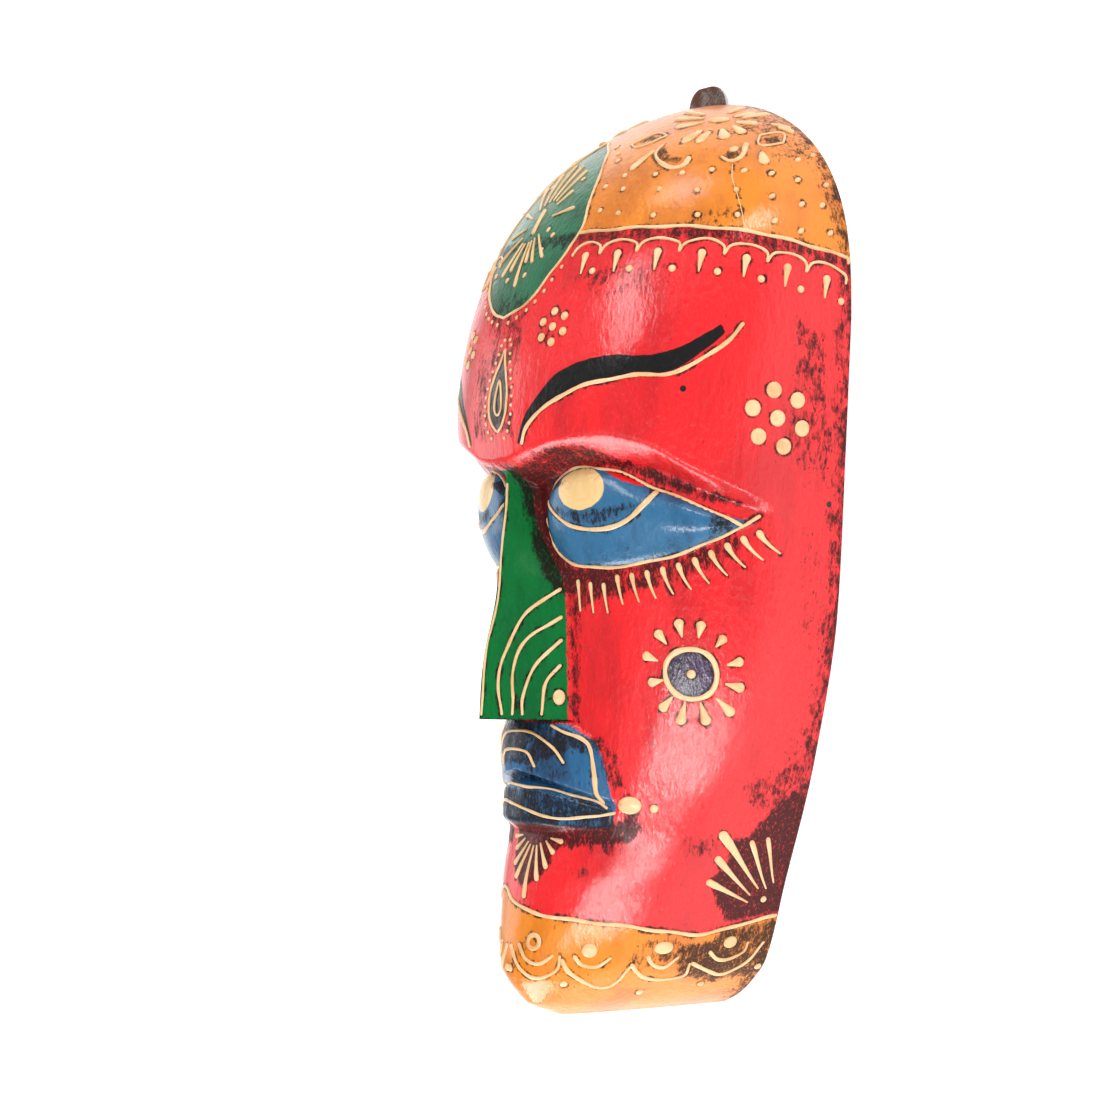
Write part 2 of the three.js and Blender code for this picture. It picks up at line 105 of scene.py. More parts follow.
def flowing(points: Sequence[Pair], closed: bool = False, step: float = 1.2) -> Path:
    """Hand-drawn curve through a few places of the face.

    Args:
        points: places as (side, height) in mm.
        closed: joins the last place to the first.
        step: distance between the returned places in mm.

    Returns:
        Places along the curve.
    """
    pts = np.array(points, float)
    before, after = (pts[-1], pts[:2]) if closed else (2 * pts[0] - pts[1], 2 * pts[-1] - pts[-2])
    pts = np.vstack([before, pts, after])
    out: list[np.ndarray] = []
    for i in range(1, len(pts) - 2):
        a, b, c, d = pts[i - 1:i + 3]
        count = max(2, int(np.linalg.norm(c - b) / step) + 1)
        for t in np.linspace(0, 1, count, endpoint=False):
            out.append(0.5 * (2 * b + (c - a) * t + (2 * a - 5 * b + 4 * c - d) * t * t
                              + (3 * b - a - 3 * c + d) * t ** 3))
    if not closed:
        out.append(pts[-2])
    return [(float(p[0]), float(p[1])) for p in out]


def ring(centre: Pair, radius: float, step: float = 1.2) -> Path:
    """Closed round path on the face, in mm."""
    count = max(8, int(2 * math.pi * radius / step))
    turns = [2 * math.pi * i / count for i in range(count)]
    return [(centre[0] + radius * math.cos(t), centre[1] + radius * math.sin(t)) for t in turns]


def bow(start: Pair, end: Pair, bulge: float, sharp: float = 1.4, steps: int = 14) -> Path:
    """Half of a leaf's outline between two tips.

    Args:
        start: first tip as (side, height) in mm.
        end: second tip.
        bulge: mm that it stands off the line between them, above it where positive.
        sharp: more than 1 for drawn-out tips.
        steps: parts of the outline.

    Returns:
        Places along the outline.
    """
    length = math.dist(start, end)
    across, up = (start[1] - end[1]) / length, (end[0] - start[0]) / length
    path = []
    for i in range(steps + 1):
        t = i / steps
        off = bulge * (4 * t * (1 - t)) ** sharp
        side, height = (a + (b - a) * t for a, b in zip(start, end))
        path.append((side + across * off, height + up * off))
    return path


def both_ways(path: Sequence[Pair]) -> Path:
    """Path carried over the middle line, the same to both sides."""
    return [(-s, h) for s, h in reversed(path) if s > 0] + list(path)


def turned(flip: int, *places: Pair) -> Path:
    """Places of the near side as they are, or carried over the middle line where flip is -1."""
    return [(flip * side, height) for side, height in places]


def around(centre: Pair, radius: float, degrees: float) -> Pair:
    """Place at a distance and direction from a centre; 90 degrees points to the crown."""
    angle = math.radians(degrees)
    return (centre[0] + radius * math.cos(angle), centre[1] + radius * math.sin(angle))


def inside_distance(points: np.ndarray, outline: Sequence[Pair]) -> np.ndarray:
    """Distance to a closed outline.

    Args:
        points: places as rows of (side, height).
        outline: corners of the closed outline.

    Returns:
        Distance in mm, positive inside the outline and negative outside it.
    """
    corners = np.array(outline, float)
    ends = np.roll(corners, -1, axis=0)
    best = np.full(len(points), np.inf)
    within = np.zeros(len(points), bool)
    px, py = points[:, 0], points[:, 1]
    for (ax, ay), (bx, by) in zip(corners, ends):
        ex, ey = bx - ax, by - ay
        t = np.clip(((px - ax) * ex + (py - ay) * ey) / max(ex * ex + ey * ey, 1e-9), 0, 1)
        best = np.minimum(best, np.hypot(px - ax - t * ex, py - ay - t * ey))
        crosses = (ay > py) != (by > py)
        if ay != by:
            within ^= crosses & (px < ax + (py - ay) * ex / ey)
    return np.where(within, best, -best)


def placed(name: str, data: bpy.types.ID) -> bpy.types.Object:
    """New object of the scene."""
    thing = bpy.data.objects.new(name, data)
    bpy.context.scene.collection.objects.link(thing)
    return thing


def baked(carriers: Sequence[bpy.types.Object]) -> bpy.types.Mesh:
    """Mesh that the first object's modifiers make; all the objects are removed."""
    bpy.context.view_layer.update()
    made = bpy.data.meshes.new_from_object(carriers[0].evaluated_get(bpy.context.evaluated_depsgraph_get()))
    for thing in carriers:
        bpy.data.objects.remove(thing)
    return made


def corners_of(mesh: bpy.types.Mesh) -> np.ndarray:
    """Rows of the mesh's points."""
    values = np.empty(len(mesh.vertices) * 3)
    mesh.vertices.foreach_get("co", values)
    return values.reshape(-1, 3)


def store(mesh: bpy.types.Mesh, name: str, values: Sequence[object]) -> None:
    """Stores a number or a vector on every point of a mesh."""
    rows = np.array(values, np.float32)
    kind, key = ("FLOAT", "value") if rows.ndim == 1 else ("FLOAT_VECTOR", "vector")
    mesh.attributes.new(name, kind, "POINT").data.foreach_set(key, rows.ravel())


@dataclass(frozen=True)
class CarvedFace:
    """Sizes and rules of the carving in mm: side is measured round the face, height from the chin's end."""

    mask_height: float = 372.0
    section_power: float = 2.2
    temple_half_width: float = 94.6
    temple_height: float = 278.0
    crown_power_along: float = 2.9
    crown_power_across: float = 1.9
    brow_height: float = 238.0
    dome_power_along: float = 1.8
    dome_power_across: float = 1.7
    thinnest: float = 0.3
    jaw_half_widths: Stations = (
        (0, 9), (4, 18), (10, 27), (21, 38), (53, 51), (103, 70.6), (163, 85.8), (223, 90.8), (278, 94.6),
    )
    uncut_depths: Stations = (
        (0, 76), (6, 90), (22, 99), (53, 96), (103, 96), (162, 100), (202, 105), (238, 107.5),
    )
    cheek_depths: Stations = (
        (0, 76), (6, 90), (22, 99), (53, 95.5), (78, 89), (103, 87), (132, 86), (177, 87), (202, 88),
        (238, 92),
    )
    ledge_heights: Stations = (
        (0, 215), (10, 216), (24, 220), (37, 223), (57, 224), (73, 222), (91, 214), (111, 206), (130, 200),
        (160, 192),
    )
    ledge_fall: float = 13.0
    ledge_fall_outer: float = 8.0
    ledge_sharpens: Pair = (55.0, 95.0)
    ledge_below_edge: float = 0.35
    ledge_flatness: float = 0.8         # how much of the fold past the middle of the eye is one flat cut
    ledge_flat_from: Pair = (30.0, 60.0)
    nose_bottom: float = 120.0
    nose_top: float = 220.0
    nose_half_widths: Stations = (
        (120, 22.5), (148, 22.5), (168, 22.2), (176, 20.5), (184, 15.5), (191, 11), (199, 7.4), (214, 6),
        (220, 6),
    )
    nose_ridge_depths: Stations = (
        (120, 112.4), (134, 111.6), (148, 109.6), (158, 107), (168, 104.7), (184, 102.8), (204, 101.2),
        (220, 99.5),
    )
    nose_ridge_round: float = 1.2
    nose_max_of_arc: float = 0.3
    eye_inner: float = 13.0
    eye_outer: float = 104.0
    upper_lids: Stations = (
        (13, 200), (14.5, 206), (19.5, 213.6), (26.8, 217.8), (36, 219.4), (44, 219), (51, 217.2),
        (64.7, 211), (82, 204), (90, 200.6), (104, 198),
    )
    lower_lids: Stations = (
        (13, 197), (15.8, 188.6), (20, 184.6), (27, 181.8), (39, 180.4), (53, 181.5), (65, 183.8),
        (76, 186.6), (85, 190.4), (95, 194.8), (104, 198),
    )
    eye_swell: float = 7.0
    eye_swell_high: float = 1.35
    eye_swell_lean: float = 0.62
    eye_swell_ends: float = 0.6
    eye_thinnest: float = 0.5
    lip_half_widths: Stations = ((76, 41), (86, 43), (90, 41.5), (100, 39.5), (111, 36), (116, 27), (120, 20))
    lip_edge: float = 2.5
    lip_swell_side: float = 2.5
    lip_swell_middle: float = 7.5
    lip_middle_width: float = 20.0
    lip_partings: Stations = ((0, 97), (10, 95), (20, 92.5), (30, 90), (42, 87))
    lip_parting_width: float = 3.0
    lower_lip_bottom: float = 77.0
    lower_lip_share: float = 0.75
    upper_lip_at_edges: float = 0.6
    upper_lip_drop: float = 4.0
    arc_samples: int = 241

    def half_width(self, height: float) -> float:
        """Half-width of the mask at a height."""
        if height <= self.temple_height:
            return float(through(self.jaw_half_widths, height))
        t = (height - self.temple_height) / (self.mask_height - self.temple_height)
        closing = max(0.0, 1 - t ** self.crown_power_along) ** (1 / self.crown_power_across)
        return max(self.thinnest, self.temple_half_width * closing)

    def depth_at(self, height: float, stations: Stations) -> float:
        """Depth of the middle line at a height, for the cheek or for the uncut block."""
        if height <= self.brow_height:
            return float(through(stations, height))
        t = (height - self.brow_height) / (self.mask_height - self.brow_height)
        leaning = max(0.0, 1 - t ** self.dome_power_along) ** (1 / self.dome_power_across)
        return max(self.thinnest, stations[-1][1] * leaning)

    def quarter(self, width: float, depth: float) -> tuple[np.ndarray, np.ndarray, np.ndarray]:
        """Across, out and running length of one quarter of a cross-section."""
        angle = np.linspace(0, math.pi / 2, self.arc_samples)
        across, out = np.sin(angle), np.cos(angle)
        out[-1] = 0
        power = self.section_power
        radius = ((across / width) ** power + (out / depth) ** power) ** (-1 / power)
        x, z = radius * across, radius * out
        return x, z, np.concatenate([[0], np.cumsum(np.hypot(np.diff(x), np.diff(z)))])

    def brow_share(self, side: np.ndarray, height: float) -> np.ndarray:
        """1 above the brow ledge and 0 below it."""
        outer = smooth_step(*self.ledge_sharpens, side)
        fall = self.ledge_fall + (self.ledge_fall_outer - self.ledge_fall) * outer
        start = through(self.ledge_heights, side) - self.ledge_below_edge * fall
        ramp = np.clip((height - start) / fall, 0, 1)
        flat = self.ledge_flatness * smooth_step(*self.ledge_flat_from, side)
        return flat * ramp + (1 - flat) * smooth_step(start, start + fall, height)

    def nose_rise(self, side: np.ndarray, height: float, middle: float) -> np.ndarray:
        """How far the nose stands out of the face."""
        if not self.nose_bottom <= height <= self.nose_top:
            return np.zeros_like(side)
        ridge = float(through(self.nose_ridge_depths, height))
        rounded = np.hypot(side, self.nose_ridge_round) - self.nose_ridge_round
        return max(0.0, ridge - middle) * np.clip(1 - rounded / through(self.nose_half_widths, height), 0, 1)

    def eye_rise(self, side: np.ndarray, height: float) -> np.ndarray:
        """How far the eye swells out of its socket."""
        lower, upper = through(self.lower_lids, side), through(self.upper_lids, side)
        gap = np.maximum(upper - lower, self.eye_thinnest)
        up = np.clip((height - lower) / gap, 0, 1) ** self.eye_swell_high
        along = np.clip((side - self.eye_inner) / (self.eye_outer - self.eye_inner), 0, 1)
        full = np.clip(np.sin(math.pi * along ** self.eye_swell_lean), 0, 1) ** self.eye_swell_ends
        rise = self.eye_swell * np.sqrt(np.clip(4 * up * (1 - up), 0, 1)) * full
        return np.where((side > self.eye_inner) & (side < self.eye_outer), rise, 0)

    def lip_rise(self, side: np.ndarray, height: float) -> np.ndarray:
        """How far the upper block of the mouth and the lower lip stand out."""
        edge = through(self.lip_half_widths, height)
        inside = 1 - smooth_step(edge - self.lip_edge / 2, edge + self.lip_edge / 2, side)
        core = self.lip_swell_side + self.lip_swell_middle * np.exp(-(side / self.lip_middle_width) ** 2)
        parting, width = through(self.lip_partings, side), self.lip_parting_width
        over = smooth_step(parting, parting + width, height) * (height < self.nose_bottom)
        under = 1 - smooth_step(parting - width, parting, height)
        reach = self.nose_bottom - parting + self.upper_lip_drop
        up = np.clip((height - parting + self.upper_lip_drop) / reach, 0, 1)
        bulge = self.upper_lip_at_edges + (1 - self.upper_lip_at_edges) * np.sin(math.pi * up)
        foot = smooth_step(self.lower_lip_bottom - width, self.lower_lip_bottom + width, height)
        return np.maximum(core * bulge * over, core * self.lower_lip_share * foot * under) * inside

    def row(self, height: float, shares: np.ndarray, nose_share: float) -> tuple[np.ndarray, np.ndarray]:
        """One row of the carved face, from the middle line to the back edge of the left side.

        Args:
            height: level of the row.
            shares: 0 to 1 along the row.
            nose_share: the share that lies on the nose.

        Returns:
            Points as rows of x, height and z, and the side distance of each.
        """
        width = self.half_width(height)
        depths = [self.depth_at(height, s) for s in (self.cheek_depths, self.uncut_depths)]
        laid = []
        for depth in depths:
            x, z, arc = self.quarter(width, depth)
            nose = min(float(through(self.nose_half_widths, height)), self.nose_max_of_arc * arc[-1])
            rest = nose + (arc[-1] - nose) * (shares - nose_share) / (1 - nose_share)
            side = np.where(shares < nose_share, nose * shares / nose_share, rest)
            laid.append((np.interp(side, arc, x), np.interp(side, arc, z), side))
        share = self.brow_share(laid[1][2], height)
        x, z, side = (low + (high - low) * share for low, high in zip(*laid))
        depth = depths[0] + (depths[1] - depths[0]) * share
        nx = (x / width) ** (self.section_power - 1) / width
        nz = (z / depth) ** (self.section_power - 1) / depth
        size = np.hypot(nx, nz)
        middle_share = float(self.brow_share(np.array(0.0), height))
        middle = depths[0] + (depths[1] - depths[0]) * middle_share
        rise = self.nose_rise(side, height, middle)
        rise = rise + self.eye_rise(side, height) + self.lip_rise(side, height)
        z = z + nz / size * rise
        z[-1] = 0
        return np.stack([x + nx / size * rise, np.full_like(x, height), z], -1), side


class FaceSurface:
    """Finds places of the carved face by side and height."""

    def __init__(self, carving: CarvedFace, step: float = 0.8, columns: int = 161) -> None:
        """Samples the carving.

        Args:
            carving: the rules of the face.
            step: distance between sampled rows in mm.
            columns: sampled places along a row.
        """
        self.low = 0.2
        self.step = step
        shares = np.linspace(0, 1, columns)
        count = int((carving.mask_height - 0.4 - self.low) / step) + 1
        self.rows = [carving.row(self.low + step * i, shares, 0.15) for i in range(count)]

    def place(self, side: float, height: float) -> np.ndarray:
        """Point of the face in mm, in the frame's directions, with heights from the chin."""
        at = min(max((height - self.low) / self.step, 0), len(self.rows) - 1.001)
        i, t = int(at), at - int(at)
        ends = []
        for points, sides in (self.rows[i], self.rows[i + 1]):
            ends.append([np.interp(abs(side), sides, points[:, axis]) for axis in (0, 2)])
        x = ends[0][0] + (ends[1][0] - ends[0][0]) * t
        z = ends[0][1] + (ends[1][1] - ends[0][1]) * t
        return np.array([math.copysign(x, side), height, z])

    def normal(self, side: float, height: float, reach: float = 1.0) -> np.ndarray:
        """Outward unit normal at a place."""
        along = self.place(side + reach, height) - self.place(side - reach, height)
        up = self.place(side, height + reach) - self.place(side, height - reach)
        cross = np.cross(along, up)
        return cross / max(np.linalg.norm(cross), 1e-9)

    def lift(self, side: float, height: float, rise: float) -> tuple[np.ndarray, np.ndarray]:
        """Point in metres at a rise in mm over the face, in the row frame, and the normal there."""
        normal = self.normal(side, height)
        point = self.place(side, height) + normal * rise
        return (point - np.array([0, HALF_LENGTH, 0])) * MM, normal


@dataclass(frozen=True)
class Blend:
    """A colour laid over the ones below it where an attribute is above zero."""

    attribute: str
    colour: str
    shade: str


@dataclass(frozen=True)
class Grain:
    """Fractal noise: how fine it is, its octaves and their share, its stretch and its swirl."""

    scale: float
    detail: float = 4
    rough: float = 0.6
    stretch: Triple = EVEN
    swirl: float = 0.0


class NodeSheet:
    """Short ways to place and join shader nodes."""

    def __init__(self, name: str) -> None:
        """Starts an empty material.

        Args:
            name: the material's name.
        """
        self.material = bpy.data.materials.new(name)
        self.material.use_nodes = True
        self.tree = self.material.node_tree
        self.tree.nodes.clear()
        self.place = self.add("ShaderNodeTexCoord").outputs["Object"]

    def add(self, kind: str, **values: object) -> bpy.types.Node:
        """New node with its properties set."""
        node = self.tree.nodes.new(kind)
        for key, value in values.items():
            setattr(node, key, value)
        return node

    def join(self, source: object, socket: Socket) -> None:
        """Links a socket, or sets a plain value on it."""
        if isinstance(source, Socket):
            self.tree.links.new(source, socket)
        else:
            socket.default_value = source

    def attribute(self, name: str) -> Socket:
        """Number stored on the mesh."""
        return self.add("ShaderNodeAttribute", attribute_name=name).outputs["Fac"]

    def math(self, operation: str, first: object, second: object) -> Socket:
        """Math node."""
        node = self.add("ShaderNodeMath", operation=operation)
        self.join(first, node.inputs[0])
        self.join(second, node.inputs[1])
        return node.outputs[0]

    def plus(self, first: object, second: object) -> Socket:
        """Sum of two numbers."""
        return self.math("ADD", first, second)

    def times(self, first: object, second: object) -> Socket:
        """Product of two numbers."""
        return self.math("MULTIPLY", first, second)

    def larger(self, first: object, second: object) -> Socket:
        """The larger of two numbers."""
        return self.math("MAXIMUM", first, second)

    def swing(self, value: object, amount: float) -> Socket:
        """Noise round a half turned into a swing round zero."""
        return self.times(self.math("SUBTRACT", value, 0.5), amount)

    def spread(self, value: object, start: float, end: float, low: float = 0.0, high: float = 1.0,
               smooth: bool = True) -> Socket:
        """Value mapped from one range to another and held inside it."""
        kind = "SMOOTHSTEP" if smooth else "LINEAR"
        node = self.add("ShaderNodeMapRange", interpolation_type=kind, clamp=True)
        for socket, number in zip(node.inputs[:5], (value, start, end, low, high)):
            self.join(number, socket)
        return node.outputs[0]

    def stretched(self, scale: Triple) -> Socket:
        """Object coordinates, stretched where the scale isn't even."""
        if scale == EVEN:
            return self.place
        node = self.add("ShaderNodeMapping")
        self.join(self.place, node.inputs["Vector"])
        node.inputs["Scale"].default_value = scale
        return node.outputs[0]

    def noise(self, grain: Grain) -> Socket:
        """Fractal noise from 0 to 1."""
        node = self.add("ShaderNodeTexNoise")
        self.join(self.stretched(grain.stretch), node.inputs["Vector"])
        for key, value in (("Scale", grain.scale), ("Detail", grain.detail), ("Roughness", grain.rough),
                           ("Distortion", grain.swirl)):
            node.inputs[key].default_value = value
        return node.outputs["Fac"]

    def mix(self, factor: object, first: object, second: object) -> Socket:
        """Colour mix; a colour is a socket or a hex code."""
        node = self.add("ShaderNodeMix", data_type="RGBA", blend_type="MIX")
        for index, value in ((0, factor), (6, first), (7, second)):
            self.join(linear(value) if isinstance(value, str) else value, node.inputs[index])
        return node.outputs[2]

    def bump(self, height: object, strength: float, distance: float, normal: object = None) -> Socket:
        """Bump from a height in the same unit as the distance."""
        node = self.add("ShaderNodeBump")
        node.inputs["Strength"].default_value = strength
        node.inputs["Distance"].default_value = distance
        self.join(height, node.inputs["Height"])
        if normal is not None:
            self.join(normal, node.inputs["Normal"])
        return node.outputs[0]

    def finish(self, **settings: object) -> bpy.types.Material:
        """Ends the sheet in a Principled shader.

        Args:
            **settings: values or sockets for the shader's inputs by name, with _ for a space.

        Returns:
            The finished material.
        """
        shader = self.add("ShaderNodeBsdfPrincipled")
        for key, value in settings.items():
            self.join(value, shader.inputs[key.replace("_", " ")])
        output = self.add("ShaderNodeOutputMaterial")
        self.join(shader.outputs[0], output.inputs["Surface"])
        return self.material


@dataclass(frozen=True)
class LacqueredPaint:
    """Bright varnished paint with a dark wash rubbed into its low places, and a patchy dark band along the
    raised paint that is partly that wash and partly painted shade.

    A ramp holds the range that is read and, where it has four numbers, the range that comes out.
    A pair named relief or varnish holds the strength of a bump and its height in metres.
    """

    name: str = "lacquered_paint"
    ground: str = "#E6181F"
    ground_shade: str = "#C9131C"
    # colour of the dark wash, also used for the painted shade beside the raised paint
    wash: str = "#170B0B"
    worn: str = "#6B3325"
    hole: str = "#120A08"
    layers: tuple[Blend, ...] = (
        Blend("paint_cap", "#E4820F", "#CC6E09"),
        Blend("paint_chin", "#E4820F", "#CC6E09"),
        Blend("paint_disc", "#0F6B45", "#0A4A31"),
        Blend("paint_nose", "#006A2E", "#005A29"),
        Blend("paint_eye", "#2A678F", "#184B6E"),
        Blend("paint_lips", "#1F618E", "#133F64"),
        Blend("paint_iris", "#EFC98A", "#E6BE7E"),
        Blend("paint_brow", "#0B090A", "#070506"),
        Blend("paint_drop", "#30101A", "#1C0A10"),
        Blend("paint_flower", "#3C1848", "#25102F"),
    )
    edge: float = 0.22            # mm over which one colour gives way to the next
    wobble: float = 0.9           # mm that a painted edge wanders
    wander: Grain = Grain(260, 2, 0.5)
    streaks: Grain = Grain(55, 5, 0.6, (1.0, 0.35, 1.0))
    streak_tone: Ramp = (0.42, 0.68)
    broad: Grain = Grain(170, 6, 0.7, (1.0, 0.6, 1.0))
    hatched: Grain = Grain(560, 5, 0.7, (1.0, 0.3, 1.0))
    patches: Grain = Grain(150, 2, 0.5)
    patch_share: Ramp = (0.36, 0.6, 0.25, 1.0)
    by_ornament: Ramp = (0.15, 1.9, 0.7, 0.0)       # mm from the raised paint to the amount of dark: wash caught at its foot, and painted shade beside it
    wash_swing: float = 4.2
    flecks: Grain = Grain(1250, 2, 0.5, (1.0, 0.5, 1.0))
    fleck_share: Ramp = (0.36, 0.43, 0.5, 1.0)
    smear_from: Ramp = (0.26, 0.8)
    smear_most: float = 0.93
    spots: Grain = Grain(1100, 3, 0.6, (1.0, 0.4, 1.0))
    spots_in_wash: float = 0.2
    spot_from: Ramp = (0.66, 0.74)
    spot_most: float = 0.85
    clean_below: Ramp = (0.04, 0.25)
    pits: Grain = Grain(620, 1, 0.4, (1.0, 0.4, 1.0))
    pit_from: Ramp = (0.74, 0.8)
    clouds: Grain = Grain(38, 3, 0.55)
    pits_by_cloud: Ramp = (0.46, 0.62, 0.1, 0.85)
    wear_swing: float = 1.4
    worn_from: Ramp = (0.5, 0.62)
    unworn_below: Ramp = (0.05, 0.25)
    worm_holes: tuple[Pair, ...] = ((249.0, 90.0), (205.0, 149.0))
    worm_hole: Ramp = (0.0010, 0.0015, 1.0, 0.0)    # m from its middle to the amount of dark
    matt_brow: float = 0.6
    matt_wash_and_shade: float = 0.7
    cloud_rough: Ramp = (0.3, 1.2, 0.3, 0.5)
    matt_rough: float = 0.2
    coat: Ramp = (0.0, 1.0, 0.6, 0.04)              # from glossy to matt
    shine: Ramp = (0.0, 1.0, 0.26, 0.12)
    coat_rough: float = 0.1
    swells: Grain = Grain(46, 3, 0.5)
    swell_relief: Pair = (0.6, 0.0012)
    brushed: Grain = Grain(260, 5, 0.65, (1.0, 0.28, 1.0))
    brushed_relief: Pair = (1.0, 0.001)
    tooled: Grain = Grain(430, 3, 0.55, (1.0, 0.6, 1.0))
    tooled_relief: Pair = (1.0, 0.0008)
    wash_and_shade_relief: Pair = (0.5, 0.0002)
    brushed_varnish: Pair = (1.0, 0.0002)
    ripples: Grain = Grain(900, 3, 0.6, (1.0, 0.4, 1.0))
    ripple_varnish: Pair = (1.0, 0.0001)

    def inside(self, sheet: NodeSheet, attribute: str, most: float = 1.0) -> Socket:
        """Share of one painted area, up to a most."""
        return sheet.spread(sheet.attribute(attribute), -self.edge, self.edge, 0.0, most)

    def colours(self, sheet: NodeSheet) -> Socket:
        """Red ground and painted areas, still clean."""
        wander = sheet.swing(sheet.noise(self.wander), self.wobble)
        tone = sheet.spread(sheet.noise(self.streaks), *self.streak_tone)
        colour = sheet.mix(tone, self.ground, self.ground_shade)
        for layer in self.layers:
            own = sheet.mix(tone, layer.colour, layer.shade)
            distance = sheet.plus(sheet.attribute(layer.attribute), wander)
            colour = sheet.mix(sheet.spread(distance, -self.edge, self.edge), colour, own)
        return colour

    def wash_and_shade(self, sheet: NodeSheet, rubbed: Socket) -> Socket:
        """Amount of dark wash, with painted shade beside the raised paint: smeared where it lies thick, in
        spots where it is thin.
        """
        patchy = sheet.spread(sheet.noise(self.patches), *self.patch_share)
        # painted shade, together with dark wash, in a patchy band along the foot of the raised paint
        close = sheet.times(sheet.spread(sheet.attribute("ornament"), *self.by_ornament), patchy)
        low = sheet.larger(sheet.attribute("wash"), close)
        depth = sheet.plus(low, sheet.swing(rubbed, self.wash_swing))
        flecks = sheet.spread(sheet.noise(self.flecks), *self.fleck_share)
        smear = sheet.times(sheet.times(sheet.spread(depth, *self.smear_from), flecks), self.smear_most)
        reach = sheet.plus(sheet.noise(self.spots), sheet.times(low, self.spots_in_wash))
        wash_and_shade = sheet.larger(smear, sheet.times(sheet.spread(reach, *self.spot_from), self.spot_most))
        return sheet.times(wash_and_shade, sheet.spread(low, *self.clean_below))

    def worm_eaten(self, sheet: NodeSheet, colour: Socket) -> Socket:
        """Colour with the worm holes in it."""
        for height, side in self.worm_holes:
            near = sheet.add("ShaderNodeVectorMath", operation="DISTANCE")
            sheet.join(sheet.place, near.inputs[0])
            sheet.join(SURFACE.lift(side, height, 0)[0], near.inputs[1])
            colour = sheet.mix(sheet.spread(near.outputs["Value"], *self.worm_hole), colour, self.hole)
        return colour

    def normals(self, sheet: NodeSheet, wash_and_shade: Socket
                ) -> tuple[Socket, Socket]:
        """Normal of the carved and brushed paint, and the smoother one of the varnish on it."""
        brushed = sheet.noise(self.brushed)
        normal = sheet.bump(sheet.noise(self.swells), *self.swell_relief)
        normal = sheet.bump(brushed, *self.brushed_relief, normal)
        normal = sheet.bump(sheet.noise(self.tooled), *self.tooled_relief, normal)
        normal = sheet.bump(sheet.math("SUBTRACT", 1.0, wash_and_shade), *self.wash_and_shade_relief, normal)
        varnish = sheet.bump(brushed, *self.brushed_varnish)
        return normal, sheet.bump(sheet.noise(self.ripples), *self.ripple_varnish, varnish)

    def build(self) -> bpy.types.Material:
        """The material of the painted face."""
        sheet = NodeSheet(self.name)
        cloudy = sheet.noise(self.clouds)
        rubbed = sheet.times(sheet.plus(sheet.noise(self.broad), sheet.noise(self.hatched)), 0.5)
        wash_and_shade = self.wash_and_shade(sheet, rubbed)
        colour = sheet.mix(wash_and_shade, self.colours(sheet), self.wash)
        specks = sheet.spread(sheet.noise(self.pits), *self.pit_from)
        specks = sheet.times(specks, sheet.spread(cloudy, *self.pits_by_cloud))
        colour = sheet.mix(specks, colour, self.wash)
        wear = sheet.attribute("wear")
        worn = sheet.spread(sheet.plus(wear, sheet.swing(rubbed, self.wear_swing)), *self.worn_from)
        worn = sheet.times(worn, sheet.spread(wear, *self.unworn_below))
        colour = self.worm_eaten(sheet, sheet.mix(worn, colour, self.worn))
        matt = sheet.larger(self.inside(sheet, "paint_nose"), sheet.times(wash_and_shade, self.matt_wash_and_shade))
        matt = sheet.larger(matt, self.inside(sheet, "paint_brow", self.matt_brow))
        rough = sheet.spread(sheet.plus(cloudy, wash_and_shade), *self.cloud_rough)
        rough = sheet.plus(rough, sheet.times(matt, self.matt_rough))
        normal, varnish = self.normals(sheet, wash_and_shade)
        return sheet.finish(Base_Color=colour, Roughness=rough, Normal=normal, Coat_Normal=varnish,
                            Coat_Roughness=self.coat_rough,
                            Coat_Weight=sheet.spread(matt, *self.coat, smooth=False),
                            Specular_IOR_Level=sheet.spread(matt, *self.shine, smooth=False))


@dataclass(frozen=True)
class ReliefPaint:
    """Thick cream paint squeezed on in lines and dots."""

    name: str = "relief_cream"
    colour: str = "#E9C08D"
    shade: str = "#D5A36C"
    grime: str = "#6A4526"
    stains: Grain = Grain(70, 4, 0.6)
    stain_from: Ramp = (0.45, 0.72)
    stain_rough: Ramp = (0.3, 0.7, 0.25, 0.45)
    fine: Grain = Grain(520, 5, 0.65)
    grime_from: Ramp = (0.6, 0.74, 0.0, 0.55)
    relief: Pair = (0.35, 0.0002)
    coat: float = 0.3
    coat_rough: float = 0.15

    def build(self) -> bpy.types.Material:
        """The material of the raised ornament."""
        sheet = NodeSheet(self.name)
        stain, fine = sheet.noise(self.stains), sheet.noise(self.fine)
        colour = sheet.mix(sheet.spread(stain, *self.stain_from), self.colour, self.shade)
        colour = sheet.mix(sheet.spread(fine, *self.grime_from), colour, self.grime)
        return sheet.finish(Base_Color=colour, Roughness=sheet.spread(stain, *self.stain_rough),
                            Normal=sheet.bump(fine, *self.relief), Coat_Weight=self.coat,
                            Coat_Roughness=self.coat_rough)


